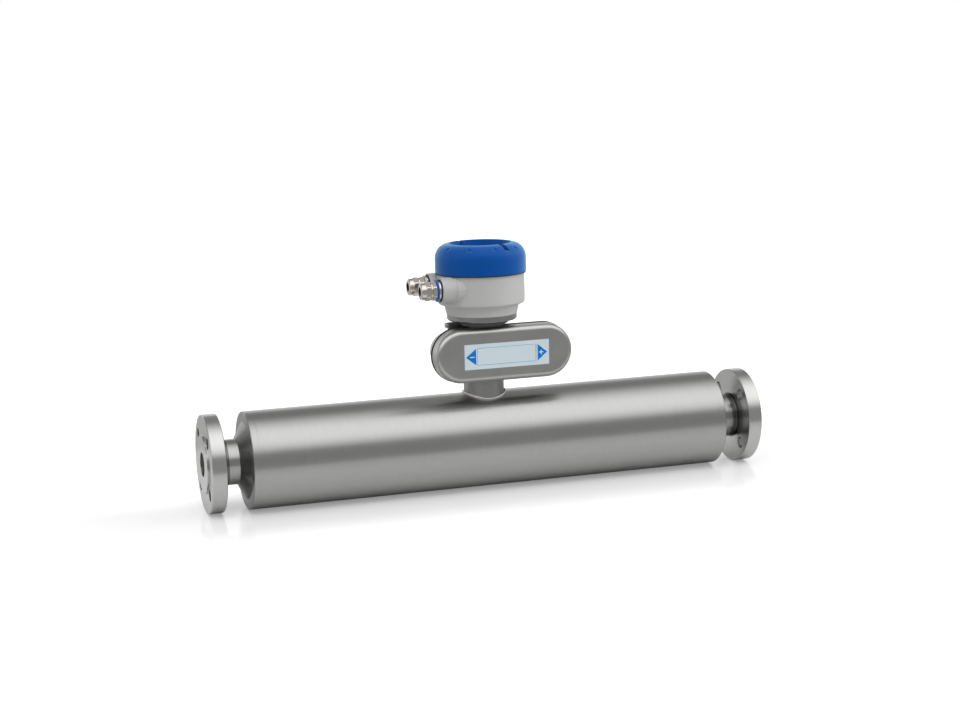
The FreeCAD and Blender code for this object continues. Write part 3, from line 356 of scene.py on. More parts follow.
@dataclass(frozen=True)
class TurnedSteel(Finish):
    """Metal turned or brushed round an axis: fine lines, broader streaks and a drawn-out highlight."""

    axis: Axis = Axis.PIPE
    lines: float = 1500.0
    lines_round: float = 6.0
    lines_per_streak: float = 6.0
    streaks_round: float = 2.5
    line_share: float = 0.45
    streak: float = 0.06
    cloud_scale: float = 22.0
    pattern_share: float = 0.7
    blotch: float = 0.05
    depth: float = 0.03 * MM
    strength: float = 0.25
    stretch: float = 0.5

    def shade(self, graph: Graph) -> dict:
        """Lays the fine lines and broader streaks over the metal, and clouds its gloss.

        Args:
            graph: the material's graph.

        Returns:
            The name of each input that is set, with its value or socket.
        """
        streaks = self.lines / self.lines_per_streak
        across_lines = graph.turned_coordinates(self.axis, self.lines, self.lines_round)
        across_streaks = graph.turned_coordinates(self.axis, streaks, self.streaks_round)
        fine = graph.noise(across_lines, 1.0, detail=2.0)
        broad = graph.noise(across_streaks, 1.0, detail=3.0)
        cloud = graph.noise(graph.object_coordinates(), self.cloud_scale, detail=4.0)
        pattern = graph.mixture(fine, broad, self.line_share)
        dulling = graph.mixture(pattern, cloud, self.pattern_share)
        tangent = graph.node("Tangent", direction_type="RADIAL", axis=self.axis.letter)
        return {
            "Base Color": graph.varied(pattern, self.colour, self.streak, Mix.COLOUR),
            "Metallic": 1.0,
            "Roughness": graph.varied(dulling, self.roughness, self.blotch + self.streak, Mix.ROUGHNESS),
            "Anisotropic": self.stretch,
            "Anisotropic Rotation": QUARTER_TURN,
            "Tangent": tangent.outputs[0],
            "Normal": graph.bump(pattern, self.depth, self.strength, graph.soft_edge(self.edge)),
        }


@dataclass(frozen=True)
class BandedSteel(TurnedSteel):
    """Turned steel with one brighter or darker band, set by distances from the pipe's axis and middle."""

    band_from: float = 0.0
    band_to: float = 1.0
    band_reach: float = 1.0
    band_gain: float = 1.0
    band_roughness: float = 1.0
    band_fade: float = 0.1 * MM

    def shade(self, graph: Graph) -> dict:
        """Sets the shader's inputs as for turned steel, with colour and roughness scaled inside the band.

        Args:
            graph: the material's graph.

        Returns:
            The name of each input that is set, with its value or socket.
        """
        inputs = super().shade(graph)
        x, y, z = graph.separated(graph.object_coordinates())
        radius = graph.math("SQRT", graph.math("ADD", graph.product(y, y), graph.product(z, z)))
        aside = graph.math("ABSOLUTE", graph.math("SUBTRACT", x, Axis.STEM.centre().x))
        near = graph.ramp(aside, self.band_reach, self.band_reach + self.band_fade, 1.0, 0.0)
        band = graph.product(graph.within(radius, self.band_from, self.band_to, self.band_fade), near)
        gain = graph.ramp(band, 0.0, 1.0, 1.0, self.band_gain)
        dull = graph.ramp(band, 0.0, 1.0, 1.0, self.band_roughness)
        inputs["Base Color"] = graph.scaled(inputs["Base Color"], gain)
        inputs["Roughness"] = graph.math("MULTIPLY", inputs["Roughness"], dull, clamp=True)
        return inputs


@dataclass(frozen=True)
class BlastedSteel(Finish):
    """Metal with an even matt grain, as from blasting or pickling."""

    grain: float = 1400.0
    depth: float = 0.03 * MM
    strength: float = 0.3
    cloud_scale: float = 45.0
    mottle: float = 0.08

    def shade(self, graph: Graph) -> dict:
        """Lays an even grain over the metal, and clouds its colour and, twice as much, its roughness.

        Args:
            graph: the material's graph.

        Returns:
            The name of each input that is set, with its value or socket.
        """
        place = graph.object_coordinates()
        grain = graph.noise(place, self.grain, detail=2.0)
        cloud = graph.noise(place, self.cloud_scale, detail=5.0)
        return {
            "Base Color": graph.varied(cloud, self.colour, self.mottle, Mix.COLOUR),
            "Metallic": 1.0,
            "Roughness": graph.varied(cloud, self.roughness, 2.0 * self.mottle, Mix.ROUGHNESS),
            "Normal": graph.bump(grain, self.depth, self.strength, graph.soft_edge(self.edge)),
        }


@dataclass(frozen=True)
class Paint(Finish):
    """Stoved paint on a casting: a light orange peel, faint clouding, a satin coat and a pale sheen."""

    peel: float = 650.0
    depth: float = 0.05 * MM
    strength: float = 0.12
    cloud_scale: float = 30.0
    mottle: float = 0.03
    dulling: float = 0.1
    gloss: float = 0.5
    coat: float = 0.15
    coat_roughness: float = 0.25
    sheen: float = 0.0
    sheen_roughness: float = 0.4
    sheen_tint: Colour = (1.0, 1.0, 1.0)

    def shade(self, graph: Graph) -> dict:
        """Lays the orange peel over the paint, and clouds its colour and roughness.

        Args:
            graph: the material's graph.

        Returns:
            The name of each input that is set, with its value or socket.
        """
        place = graph.object_coordinates()
        peel = graph.noise(place, self.peel, detail=2.0)
        cloud = graph.noise(place, self.cloud_scale, detail=4.0)
        return {
            "Base Color": graph.varied(cloud, self.colour, self.mottle, Mix.COLOUR),
            "Roughness": graph.varied(cloud, self.roughness, self.dulling, Mix.ROUGHNESS),
            "Specular IOR Level": self.gloss,
            "Coat Weight": self.coat,
            "Coat Roughness": self.coat_roughness,
            "Sheen Weight": self.sheen,
            "Sheen Roughness": self.sheen_roughness,
            "Sheen Tint": (*self.sheen_tint, 1.0),
            "Normal": graph.bump(peel, self.depth, self.strength, graph.soft_edge(self.edge)),
        }


@dataclass(frozen=True)
class Moulded(Finish):
    """Rubber, plastic, film or ink with a fine grain and dulled patches."""

    grain: float = 900.0
    depth: float = 0.04 * MM
    strength: float = 0.25
    cloud_scale: float = 60.0
    mottle: float = 0.12
    gloss: float = 0.5

    def shade(self, graph: Graph) -> dict:
        """Lays the grain over the material, and dulls it in patches.

        Args:
            graph: the material's graph.

        Returns:
            The name of each input that is set, with its value or socket.
        """
        place = graph.object_coordinates()
        grain = graph.noise(place, self.grain, detail=3.0)
        cloud = graph.noise(place, self.cloud_scale, detail=4.0)
        return {
            "Base Color": graph.varied(cloud, self.colour, self.mottle, Mix.COLOUR),
            "Roughness": graph.varied(cloud, self.roughness, self.mottle, Mix.ROUGHNESS),
            "Specular IOR Level": self.gloss,
            "Normal": graph.bump(grain, self.depth, self.strength, graph.soft_edge(self.edge)),
        }


FLANGE = BandedSteel("flange_turned_steel", (0.58, 0.58, 0.57), 0.24, edge=0.5 * MM, lines=1600.0,
                     stretch=0.45, band_from=20.0 * MM, band_to=28.0 * MM, band_reach=325.2 * MM,
                     band_gain=0.3)
NECK = TurnedSteel("neck_turned_steel", (0.44, 0.44, 0.43), 0.22, lines=2000.0, stretch=0.4)
END_CAP = BandedSteel("end_cap_turned_steel", (0.36, 0.36, 0.355), 0.34, edge=0.6 * MM, lines=1200.0,
                      band_from=56.7 * MM, band_to=60.0 * MM, band_gain=1.3, band_roughness=0.88)
BODY = TurnedSteel("body_brushed_steel", (0.47, 0.47, 0.465), 0.30, lines=1100.0, streak=0.07, stretch=0.6)
STEM = TurnedSteel("stem_brushed_steel", (0.35, 0.35, 0.345), 0.36, axis=Axis.STEM, lines=900.0)
CASE = BlastedSteel("case_blasted_steel", (0.52, 0.52, 0.51), 0.32, edge=0.6 * MM)
WELD = BlastedSteel("weld_steel", (0.80, 0.78, 0.75), 0.2, grain=2200.0, mottle=0.2)
INNER = BlastedSteel("inner_drawn_steel", (0.52, 0.52, 0.52), 0.3)
COPPER = TurnedSteel("wound_copper", (0.72, 0.36, 0.18), 0.28, lines=2600.0, strength=0.8, depth=0.15 * MM)
MAGNET = BlastedSteel("plated_magnet", (0.50, 0.50, 0.52), 0.2)
SCREW = BlastedSteel("bright_screw_steel", (0.60, 0.60, 0.60), 0.22, edge=0.3 * MM)
NICKEL = TurnedSteel("nickel_plate", (0.70, 0.66, 0.61), 0.15, axis=Axis.GLAND, edge=0.35 * MM,
                     lines=2400.0, strength=0.15, stretch=0.2)
BASE_RING = TurnedSteel("base_ring_turned_steel", (0.36, 0.36, 0.355), 0.34, axis=Axis.STEM, edge=0.5 * MM,
                        lines=1400.0)
# Steel darkened almost to black where the socket stands in the shade under the base ring: partly its own
# dark tone, partly painted shade.
SOCKET_PAINTED_SHADE = BlastedSteel("socket_steel_painted_shade", (0.16, 0.16, 0.16), 0.4)
GLASS_SEAL = BlastedSteel("glass_sealed_steel", (0.34, 0.36, 0.33), 0.3)
HEAD_PAINT = Paint("head_grey_paint", (0.60, 0.60, 0.59), 0.42, edge=0.7 * MM, coat=0.1)
CAP_PAINT = Paint("cap_blue_paint", (0.0, 0.085, 0.39), 0.34, edge=0.8 * MM, coat=0.1, gloss=0.1,
                  strength=0.16, sheen=1.0, sheen_tint=(0.3, 0.7, 1.0))
RUBBER = Moulded("black_rubber", (0.012, 0.012, 0.012), 0.6)
COLLAR = Moulded("collar_black_plastic", (0.02, 0.02, 0.02), 0.45)
SENSOR = Moulded("sensor_potting", (0.78, 0.78, 0.74), 0.5)
WIRES = Moulded("sleeved_wires", (0.12, 0.12, 0.13), 0.55)
BOARD = Moulded("board_solder_mask", (0.01, 0.16, 0.06), 0.35)
CHIPS = Moulded("moulded_parts", (0.02, 0.02, 0.02), 0.5)
TERMINAL = Moulded("terminal_plastic", (0.32, 0.34, 0.34), 0.45)
MARKER = Moulded("marker_blue_plastic", (0.0, 0.12, 0.50), 0.35)
LABEL_PLATE = Moulded("label_silver_film", (0.72, 0.84, 0.90), 0.4, strength=0.08, mottle=0.03)
PRINT_BLUE = Moulded("print_blue", (0.0, 0.22, 0.72), 0.4, strength=0.05, gloss=0.15)
PRINT_LINE = Moulded("print_line_blue", (0.12, 0.34, 0.62), 0.4, strength=0.05)
PRINT_WHITE = Moulded("print_white", (0.95, 0.97, 0.99), 0.4, strength=0.05)

FINISH_OF_SLOT: dict[str, Finish] = {
    "flange_steel": FLANGE, "neck_steel": NECK, "end_cap_steel": END_CAP, "body_steel": BODY,
    "case_steel": CASE, "inner_steel": INNER, "copper": COPPER, "magnet": MAGNET, "sensor_white": SENSOR,
    "wire_grey": WIRES, "feedthrough_glass": GLASS_SEAL, "black_rubber": RUBBER, "collar_black": COLLAR,
    "screw_steel": SCREW, "label_silver": LABEL_PLATE, "board_green": BOARD, "parts_black": CHIPS,
    "terminal_grey": TERMINAL, "head_paint": HEAD_PAINT, "cap_blue": CAP_PAINT, "gland_nickel": NICKEL,
    "marker_blue": MARKER,
}
FINISH_OF_NODE: dict[str, Finish] = {
    "stem_tube": STEM, "stem_weld": WELD, "head_base_ring": BASE_RING, "neck_socket": SOCKET_PAINTED_SHADE,
}


def full_turn(steps: int) -> np.ndarray:
    """Returns the angles of one turn in equal steps, in radians, without the one that repeats the first."""
    return np.linspace(0.0, 2.0 * np.pi, steps, endpoint=False)


def mesh_piece(name: str, vertices: np.ndarray, faces: list[list[int]], smooth: bool) -> bpy.types.Object:
    """Makes an object from vertices and faces.

    Args:
        name: the object's name.
        vertices: array of shape (vertices, 3), in metres.
        faces: the vertex numbers of each face, in order round it.
        smooth: whether it is shaded smooth.

    Returns:
        The object, linked to the scene.
    """
    mesh = bpy.data.meshes.new(name)
    mesh.from_pydata(vertices.tolist(), [], faces)
    mesh.polygons.foreach_set("use_smooth", np.full(len(faces), smooth))
    mesh.update()
    piece = bpy.data.objects.new(name, mesh)
    bpy.context.scene.collection.objects.link(piece)
    return piece


def grid_piece(name: str, points: np.ndarray, wrap_rows: bool = True,
               smooth: bool = True) -> bpy.types.Object:
    """Makes a piece from a grid of points whose last column joins the first, one quad to each cell.

    Args:
        name: the piece's name.
        points: array of shape (rows, columns, 3), in metres.
        wrap_rows: whether the last row joins the first.
        smooth: whether it is shaded smooth.

    Returns:
        The object.
    """
    rows, columns = points.shape[:2]
    row, column = np.meshgrid(np.arange(rows if wrap_rows else rows - 1), np.arange(columns), indexing="ij")
    next_row, next_column = (row + 1) % rows, (column + 1) % columns
    corners = [row * columns + column, next_row * columns + column, next_row * columns + next_column,
               row * columns + next_column]
    faces = np.stack(corners, axis=-1).reshape(-1, 4)
    return mesh_piece(name, points.reshape(-1, 3), faces.tolist(), smooth)


def face_outwards(piece: bpy.types.Object, gathered_ends: bool = False) -> None:
    """Turns a closed piece's faces outwards.

    Args:
        piece: the piece.
        gathered_ends: whether the grid's end rings are gathered in one point, which is merged first.
    """
    work = bmesh.new()
    work.from_mesh(piece.data)
    if gathered_ends:
        bmesh.ops.remove_doubles(work, verts=work.verts, dist=MERGE_REACH)
        bmesh.ops.dissolve_degenerate(work, edges=work.edges, dist=SHORTEST_EDGE)
    bmesh.ops.recalc_face_normals(work, faces=work.faces)
    work.to_mesh(piece.data)
    work.free()


def seat(piece: bpy.types.Object, body: str, slot: str, finish: Finish, *replaced: str) -> bpy.types.Object:
    """Gives a new piece its finish and body, and hides the CAD nodes that it stands for.

    Args:
        piece: the new piece.
        body: the body of the model that it moves with.
        slot: the material slot of the record; not used.
        finish: its finish.
        replaced: names of the CAD nodes that it stands for.

    Returns:
        The same piece.
    """
    finish.put_on(piece)
    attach(piece, body)
    if replaced:
        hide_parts(*replaced)
    return piece


@dataclass
class CarriedParts:
    """All the CAD nodes, each with the finish of its material slot, or with one of its own."""

    of_slot: dict[str, Finish] = field(default_factory=lambda: FINISH_OF_SLOT)
    of_node: dict[str, Finish] = field(default_factory=lambda: FINISH_OF_NODE)

    def dress(self, frame: dict) -> list[bpy.types.Object]:
        """Puts the finishes on the nodes.


        Returns:
            The nodes' objects.
        """
        dressed = []
        for row in frame["record"]["subparts"]:
            node = frame["nodes"][row["node"]]
            finish = self.of_node.get(row["node"], self.of_slot[row["material_slot"]])
            finish.put_on(node)
            dressed.append(node)
        return dressed


@dataclass
class StemWeld:
    """Rippled weld bead on the line where the stem stands on the body."""

    stem: Box = box_of("stem_tube")
    body: Box = box_of("body_tube")
    bead_radius: float = 1.8 * MM
    seat_share: float = 0.35
    ripples: int = 54
    ripple_height: float = 0.6
    lean: float = 0.25
    slow_wobble: float = 0.08
    slow_waves: int = 5
    slow_start: float = 0.7
    quick_wobble: float = 0.06
    quick_waves: int = 11
    steps_round: int = 648
    steps_section: int = 16

    def build(self) -> list[bpy.types.Object]:
        """Builds the bead.

        A circle round the stem is dropped onto the body, which gives the saddle line: its height is the
        root of the body's radius squared less y squared. A section circle runs along it. Its radius falls
        and rises with the squared cosine of each ripple's phase, which leans with the section, and wobbles
        with two slow sines.

        Returns:
            The bead.
        """
        turn = full_turn(self.steps_round)[:, None]
        section = full_turn(self.steps_section)[None, :]
        phase = (self.ripples * turn / (2.0 * np.pi) + self.lean * np.cos(section)) % 1.0
        slow = self.slow_wobble * np.sin(self.slow_waves * turn + self.slow_start)
        quick = self.quick_wobble * np.sin(self.quick_waves * turn)
        bead = self.bead_radius * (1.0 - self.ripple_height * np.cos(np.pi * phase) ** 2 + slow + quick)
        stand_off = self.seat_share * self.bead_radius
        line_radius = self.stem.size.x / 2.0 + stand_off
        ring = line_radius + bead * np.cos(section)
        saddle = np.sqrt(self.body.high.z ** 2 - (line_radius * np.sin(turn)) ** 2)
        points = np.stack([
            self.stem.middle.x + ring * np.cos(turn),
            ring * np.sin(turn),
            saddle + stand_off + bead * np.sin(section),
        ], axis=-1)
        bead_piece = grid_piece("stem_weld_bead", points)
        face_outwards(bead_piece)
        return [seat(bead_piece, "meter", "body_steel", WELD, "stem_weld")]


@dataclass
class GlandRings:
    """Marker rings of the two glands: the front one blue, the rear one nickel, as in the photograph."""

    rings: Box = box_of("gland_marker_rings")
    rear_gland: Box = box_of("gland_2_body")
    bore_radius: float = 8.05 * MM
    chamfer: float = 0.3 * MM
    steps: int = 96

    def ring(self, name: str, centre_y: float) -> bpy.types.Object:
        """Builds one ring.

        A closed section of six corners, a rectangle with two chamfers outside, is carried once round the
        gland's axis: y and z are the corner's radius times the cosine and sine of the turn.

        Args:
            name: the ring's name.
            centre_y: the y of the gland's axis.

        Returns:
            The ring, flat shaded.
        """
        inner, outer = self.bore_radius, self.rings.size.z / 2.0
        near, far = self.rings.high.x, self.rings.low.x
        x = np.array([near, near - self.chamfer, far + self.chamfer, far, far, near])
        radius = np.array([outer - self.chamfer, outer, outer, outer - self.chamfer, inner, inner])
        turn = full_turn(self.steps)[:, None]
        points = np.stack([
            np.broadcast_to(x, (self.steps, len(x))),
            centre_y + radius * np.cos(turn),
            self.rings.middle.z + radius * np.sin(turn),
        ], axis=-1)
        made = grid_piece(name, points, smooth=False)
        face_outwards(made)
        return made

    def build(self) -> list[bpy.types.Object]:
        """Builds both rings.

        Returns:
            The front ring and the rear ring.
        """
        axis_y = self.rear_gland.middle.y
        front, rear = self.ring("marker_ring_front", -axis_y), self.ring("marker_ring_rear", axis_y)
        return [seat(front, "head", "marker_blue", MARKER, "gland_marker_rings"),
                seat(rear, "head", "gland_nickel", NICKEL, "gland_marker_rings")]


@dataclass
class BossSeams:
    """Fine parting ridge of the casting, along both sides of each gland boss at mid-height."""

    housing: Box = box_of("head_housing")
    stem: Box = box_of("stem_tube")
    rear_gland: Box = box_of("gland_2_body")
    rings: Box = box_of("gland_marker_rings")
    start_inset: float = 0.6 * MM
    foot_reach: float = 41.5 * MM
    end_reach: float = 30.0 * MM
    boss_radius: float = 15.0 * MM
    foot_radius: float = 16.5 * MM
    bend: float = 0.35 * MM
    height: float = 0.3 * MM
    half_width: float = 0.4 * MM
    sink: float = 0.3 * MM
    steps: int = 40
    steps_section: int = 12

    def build(self) -> list[bpy.types.Object]:
        """Builds the ridges.

        Along x the boss's radius rises with a hyperbolic tangent from the boss to its foot. A half round
        section, the ridge height times the cosine and the half width times the sine, stands on that line
        and is closed under the surface. It shrinks to a point at both ends.

        Returns:
            The four ridges.
        """
        axis_x = self.stem.middle.x
        x = np.linspace(self.housing.low.x + self.start_inset, axis_x - self.end_reach, self.steps)[:, None]
        rise = 0.5 + 0.5 * np.tanh((x - (axis_x - self.foot_reach)) / self.bend)
        radius = self.boss_radius + (self.foot_radius - self.boss_radius) * rise
        turn = full_turn(self.steps_section)[None, :] - 0.5 * np.pi
        ends = np.where((np.arange(self.steps) % (self.steps - 1)) == 0, 0.0, 1.0)[:, None]
        outward = np.cos(turn) * np.where(np.cos(turn) > 0.0, self.height, self.sink) * ends
        across = self.half_width * np.sin(turn) * ends
        seams = []
        for side, name in ((-1, "front"), (1, "rear")):
            for face in (-1, 1):
                points = np.stack([
                    np.broadcast_to(x, outward.shape),
                    side * self.rear_gland.middle.y + face * (radius + outward),
                    self.rings.middle.z + across,
                ], axis=-1)
                way = "out" if face == side else "in"
                seam = grid_piece(f"boss_seam_{name}_{way}", points, wrap_rows=False)
                face_outwards(seam, gathered_ends=True)
                seams.append(seat(seam, "head", "head_paint", HEAD_PAINT))
        return seams


@dataclass
class LabelPrint:
    """Print on the label plate: two arrow triangles with their signs and a thin frame between them."""

    plate: Box = box_of("label_plate")
    ink: float = 0.04 * MM
    tip_inset_minus: float = 1.6 * MM
    tip_inset_plus: float = 2.5 * MM
    base_inset: float = 14.2 * MM
    half_base: float = 9.8 * MM
    sign_share: float = 0.36
    sign_length: float = 5.4 * MM
    sign_width: float = 1.0 * MM
    frame_inset_left: float = 15.9 * MM
    frame_inset_right: float = 16.9 * MM
    frame_inset_z: float = 4.9 * MM
    frame_line: float = 0.4 * MM
    frame_double: float = 1.7 * MM

    @staticmethod
    def bar(x: float, z: float, length: float, tall: float) -> np.ndarray:
        """Outline of a bar centred on (x, z)."""
        signs = np.array([[-1, -1], [1, -1], [1, 1], [-1, 1]])
        return np.array([x, z]) + signs * np.array([length / 2.0, tall / 2.0])

    def prism(self, name: str, outline: np.ndarray, coats: int, finish: Finish) -> bpy.types.Object:
        """Makes a flat printed shape: an outline in x and z, raised from the plate by so many coats of ink.

        Args:
            name: the shape's name.
            outline: array of shape (corners, 2) in metres from the plate's middle.
            coats: coats of ink between the plate and the shape's face.
            finish: the ink.

        Returns:
            The shape, on its body.
        """
        count = len(outline)
        middle = self.plate.middle
        face_y = np.full(count, self.plate.low.y)
        back = np.column_stack([outline[:, 0] + middle.x, face_y, outline[:, 1] + middle.z])
        front = back - np.array([0.0, coats * self.ink, 0.0])
        index = np.arange(count)
        following = (index + 1) % count
        sides = np.stack([index, following, following + count, index + count], axis=-1)
        faces = [list(range(count, 2 * count)), list(range(count - 1, -1, -1)), *sides.tolist()]
        shape = mesh_piece(name, np.vstack([back, front]), faces, smooth=False)
        face_outwards(shape)
        return seat(shape, "meter", "label_silver", finish)

    def arrow(self, side: int, end: str, tip_inset: float) -> list[bpy.types.Object]:
        """Builds one arrow triangle and its sign.

        Args:
            side: -1 for the left end of the plate, 1 for the right.
            end: minus or plus, which is also the sign.
            tip_inset: distance of the tip from the plate's end.

        Returns:
            The triangle and the one or two bars of the sign.
        """
        base = self.plate.size.x / 2.0 - self.base_inset
        tip = self.plate.size.x / 2.0 - tip_inset
        corners = [[side * base, -self.half_base], [side * tip, 0.0], [side * base, self.half_base]]
        sign_x = side * (base + self.sign_share * (tip - base))
        level = self.bar(sign_x, 0.0, self.sign_length, self.sign_width)
        shapes = [self.prism(f"label_arrow_{end}", np.array(corners), 1, PRINT_BLUE),
                  self.prism(f"label_sign_{end}", level, 2, PRINT_WHITE)]
        if end == "plus":
            upright = self.bar(sign_x, 0.0, self.sign_width, self.sign_length)
            shapes.append(self.prism("label_sign_plus_upright", upright, 3, PRINT_WHITE))
        return shapes

    def frame(self) -> list[bpy.types.Object]:
        """Builds the lines of the frame, of which the right one is double.

        Returns:
            The five lines.
        """
        left = self.frame_inset_left - self.plate.size.x / 2.0
        right = self.plate.size.x / 2.0 - self.frame_inset_right
        top = self.plate.size.z / 2.0 - self.frame_inset_z
        middle, length, line = (left + right) / 2.0, right - left, self.frame_line
        lines = {
            "top": self.bar(middle, top, length, line),
            "low": self.bar(middle, -top, length, line),
            "left": self.bar(left, 0.0, line, 2.0 * top),
            "right": self.bar(right, 0.0, line, 2.0 * top),
            "right_double": self.bar(right + self.frame_double, 0.0, line, 2.0 * top),
        }
        return [self.prism(f"label_frame_{name}", line_shape, 1, PRINT_LINE)
                for name, line_shape in lines.items()]

    def build(self) -> list[bpy.types.Object]:
        """Builds the print and returns its shapes."""
        return [*self.arrow(-1, "minus", self.tip_inset_minus), *self.arrow(1, "plus", self.tip_inset_plus),
                *self.frame()]


@dataclass
class PhotoCamera:
    """Camera of the photograph, from a fit of its outlines: angles in degrees and the lens in pixels."""

    azimuth: float = 18.003
    elevation: float = 9.507
    roll: float = -1.607
    place: Point = (-0.33426, -2.07206, 0.46014)
    focal_pixels: float = 1845.5
    frame_pixels: float = 960.0
    sensor: float = 36.0
    clip_near: float = 0.05
    clip_far: float = 100.0

    def build(self) -> None:
        """Places the camera along its line of sight, rolled, and makes it the scene's."""
        azimuth, elevation, roll = (math.radians(x) for x in (self.azimuth, self.elevation, self.roll))
        flat = math.cos(elevation)
        look = Vector((math.sin(azimuth) * flat, math.cos(azimuth) * flat, -math.sin(elevation)))
        right = look.cross(Vector((0.0, 0.0, 1.0))).normalized()
        up = right.cross(look)
        rolled_right = math.cos(roll) * right + math.sin(roll) * up
        rolled_up = math.cos(roll) * up - math.sin(roll) * right
        data = bpy.data.cameras.new("camera")
        data.sensor_width = self.sensor
        data.lens = self.focal_pixels / self.frame_pixels * self.sensor
        data.clip_start = self.clip_near
        data.clip_end = self.clip_far
        camera = bpy.data.objects.new("camera", data)
        bpy.context.scene.collection.objects.link(camera)
        basis = Matrix((rolled_right, rolled_up, -look)).transposed().to_4x4()
        camera.matrix_world = Matrix.Translation(Vector(self.place)) @ basis
        bpy.context.scene.camera = camera


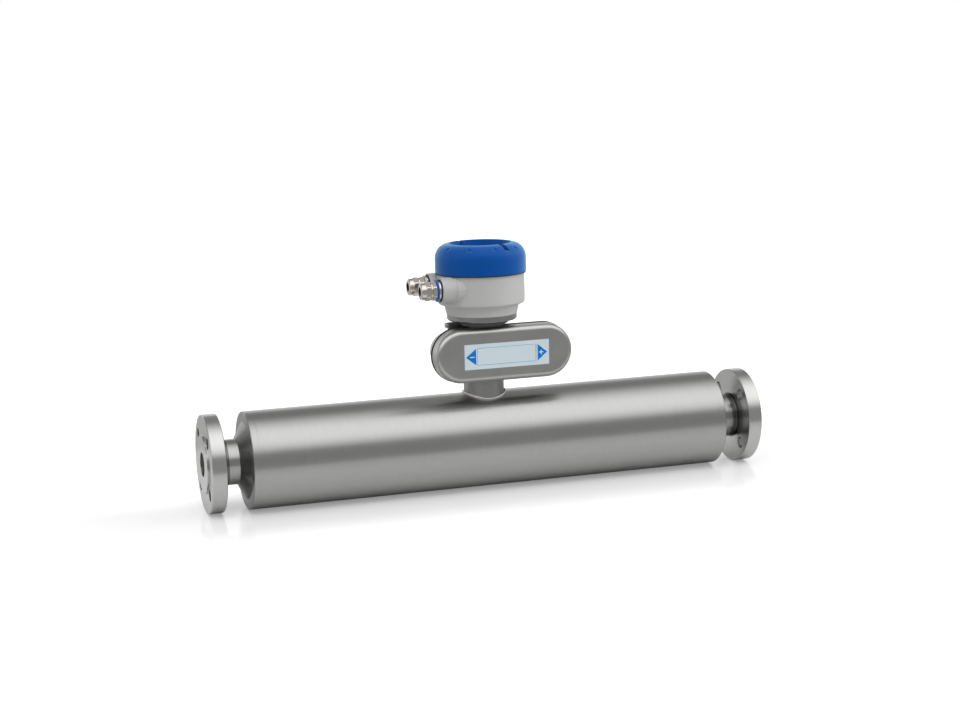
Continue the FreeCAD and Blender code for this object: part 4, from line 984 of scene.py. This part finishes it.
@dataclass
class StudioFloor:
    """Pale glossy floor: a bright table, and round it a darker floor that only reflections and bounce light
    see, which is painted shade of a dim room; and a glow that only the camera sees, weaker near the
    object's foot, which is painted shade.
    """

    flange: Box = box_of("inlet_flange")
    stem: Box = box_of("stem_tube")
    half: float = 14.0
    table_front: float = -0.29
    table_back: float = 0.32
    table_side: float = 0.62
    table_fade: float = 0.06
    table_shade: float = 0.80
    painted_dim_room_shade: float = 0.36
    seen_shade: float = 0.82
    # The camera's glow is weaker near the object's foot line, from glow_far in to glow_near: painted shade
    # on the floor.
    foot_y: float = -0.03
    glow_near: float = 0.05
    glow_far: float = 0.15
    painted_shade_glow: float = 0.25
    glow_away: float = 0.5
    roughness: float = 0.12
    ior: float = 1.4

    def shader(self, graph: Graph) -> bpy.types.Node:
        """Builds the floor's shader.

        Args:
            graph: the material's graph.

        Returns:
            The shader node.
        """
        seen = graph.node("LightPath").outputs["Is Camera Ray"]
        x, y, _ = graph.separated(graph.object_coordinates())
        aside = graph.math("ABSOLUTE", graph.math("SUBTRACT", x, self.stem.middle.x))
        side_end = self.table_side + self.table_fade
        table = graph.product(graph.within(y, self.table_front, self.table_back, self.table_fade),
                              graph.ramp(aside, self.table_side, side_end, 1.0, 0.0))
        # Beyond the table the floor is darker for every ray but the camera's: painted shade of a dim room,
        # seen in the metal's reflections and in bounce light.
        shade = graph.math("MAXIMUM", graph.ramp(table, 0.0, 1.0, self.painted_dim_room_shade, self.table_shade),
                           graph.product(seen, self.seen_shade))
        # Glow that only the camera sees, weaker near the foot: painted shade under the object.
        from_foot = graph.math("ABSOLUTE", graph.math("SUBTRACT", y, self.foot_y))
        glow = graph.ramp(from_foot, self.glow_near, self.glow_far, self.painted_shade_glow, self.glow_away)
        return graph.node("BsdfPrincipled", {
            "Base Color": graph.node("CombineXYZ", {0: shade, 1: shade, 2: shade}).outputs[0],
            "Roughness": self.roughness,
            "IOR": self.ior,
            "Emission Color": WHITE,
            "Emission Strength": graph.product(seen, glow),
        })

    def build(self) -> None:
        """Lays the floor under the flanges."""
        half, low = self.half, self.flange.low.z
        corners = np.array([[-half, -half, low], [half, -half, low], [half, half, low], [-half, half, low]])
        floor = mesh_piece("studio_floor", corners, [[0, 1, 2, 3]], smooth=False)
        material = bpy.data.materials.new("studio_white_floor")
        graph = Graph(material)
        graph.node("OutputMaterial", {0: self.shader(graph).outputs[0]})
        floor.data.materials.append(material)
        floor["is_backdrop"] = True


@dataclass
class StudioRoom:
    """Surroundings: white to the camera, even light on the object, a dim room and overhead panel in metal.

    The panel's edges are horizontal distances at a height of one, to the back and to either side.
    """

    horizon: float = 0.02
    panel_front: tuple[float, float] = (-2.6, -0.6)
    panel_back: tuple[float, float] = (-0.35, 0.7)
    panel_side: tuple[float, float] = (1.6, 3.6)
    panel_beyond_side: float = 0.15
    panel_strength: float = 1.15
    room_depth: tuple[float, float] = (-0.25, 0.75)
    room_front: float = 0.34
    room_back: float = 0.85
    room_height: tuple[float, float] = (0.25, 0.55)
    room_top: float = 0.3
    room_least: float = 0.30
    light_turn: tuple[float, float] = (0.1, 0.9)
    light_from_left: float = 0.48
    light_more_right: float = 0.45

    def mirrored(self, graph: Graph, x: Socket, y: Socket, z: Socket) -> Socket:
        """Works out the strength that metal mirrors.

        Args:
            graph: the world's graph.
            x: the direction's part to the right.
            y: its part to the back.
            z: its part upwards.

        Returns:
            The strength.
        """
        height = graph.math("MAXIMUM", z, self.horizon)
        over = graph.math("DIVIDE", y, height)
        aside = graph.math("ABSOLUTE", graph.math("DIVIDE", x, height))
        panel = graph.product(graph.ramp(over, *self.panel_front, 0.0, 1.0),
                              graph.ramp(over, *self.panel_back, 1.0, 0.0),
                              graph.ramp(aside, *self.panel_side, 1.0, self.panel_beyond_side))
        room = graph.product(graph.ramp(y, *self.room_depth, self.room_front, self.room_back),
                             graph.ramp(z, *self.room_height, 1.0, self.room_top))
        return graph.math("ADD", graph.math("MAXIMUM", room, self.room_least),
                          graph.product(panel, self.panel_strength))

    def build(self) -> None:
        """Sets the world."""
        world = bpy.data.worlds.new("studio_world")
        bpy.context.scene.world = world
        graph = Graph(world)
        rays = graph.node("LightPath").outputs
        x, y, z = graph.separated(graph.node("TexCoord").outputs["Generated"])
        more_right = graph.ramp(x, *self.light_turn, 0.0, self.light_more_right)
        light = graph.math("ADD", more_right, self.light_from_left)
        metal_sees, lit_by, white = (
            graph.node("Background", {"Color": WHITE, "Strength": strength}).outputs[0]
            for strength in (self.mirrored(graph, x, y, z), light, 1.0))
        reflected = graph.math("MAXIMUM", rays["Is Glossy Ray"], rays["Is Transmission Ray"])
        unseen = graph.node("MixShader", {0: reflected, 1: lit_by, 2: metal_sees}).outputs[0]
        every_ray = graph.node("MixShader", {0: rays["Is Camera Ray"], 1: unseen, 2: white})
        graph.node("OutputWorld", {0: every_ray.outputs[0]})


@dataclass(frozen=True)
class SoftLight:
    """One soft light from far away, which shades the object but isn't mirrored in it."""

    name: str
    source: Point
    power: float
    angle: float

    def build(self) -> None:
        """Adds the light. It comes from the source's direction, and its angle is its width in degrees."""
        data = bpy.data.lights.new(self.name, "SUN")
        data.energy = self.power
        data.angle = math.radians(self.angle)
        lamp = bpy.data.objects.new(self.name, data)
        bpy.context.scene.collection.objects.link(lamp)
        lamp.rotation_mode = "QUATERNION"
        lamp.rotation_quaternion = Vector(self.source).to_track_quat("Z", "Y")
        lamp.visible_camera = False
        lamp.visible_glossy = False


STUDIO_LIGHTS = (
    SoftLight("key_light", (-0.1, -0.6, 1.0), 0.9, 40.0),
    SoftLight("right_light", (0.9, -0.2, 0.4), 0.8, 50.0),
    SoftLight("left_light", (-0.9, 0.1, 0.4), 0.25, 50.0),
)


def box_lists() -> list[list[float]]:
    """The shown object's lowest and highest corner as plain lists."""
    return [list(corner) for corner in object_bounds()]


def main(frame: dict, cad_box: list[list[float]]) -> None:
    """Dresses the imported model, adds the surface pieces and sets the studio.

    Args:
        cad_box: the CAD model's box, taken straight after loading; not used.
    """
    for node in CarriedParts().dress(frame):
        LOG.info("node %s: %s", node.name, node.data.materials[0].name)
    for assembly in (StemWeld(), GlandRings(), BossSeams(), LabelPrint()):
        for piece in assembly.build():
            LOG.info("piece %s: %d faces", piece.name, len(piece.data.polygons))
    bpy.context.scene.view_settings.view_transform = "Standard"
    for equipment in (PhotoCamera(), StudioFloor(), StudioRoom(), *STUDIO_LIGHTS):
        equipment.build()


if __name__ == "__main__":
    logging.basicConfig(level=logging.INFO, format="%(message)s")
    for leftover in list(bpy.data.objects):
        bpy.data.objects.remove(leftover)
    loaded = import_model()
    main(loaded, box_lists())
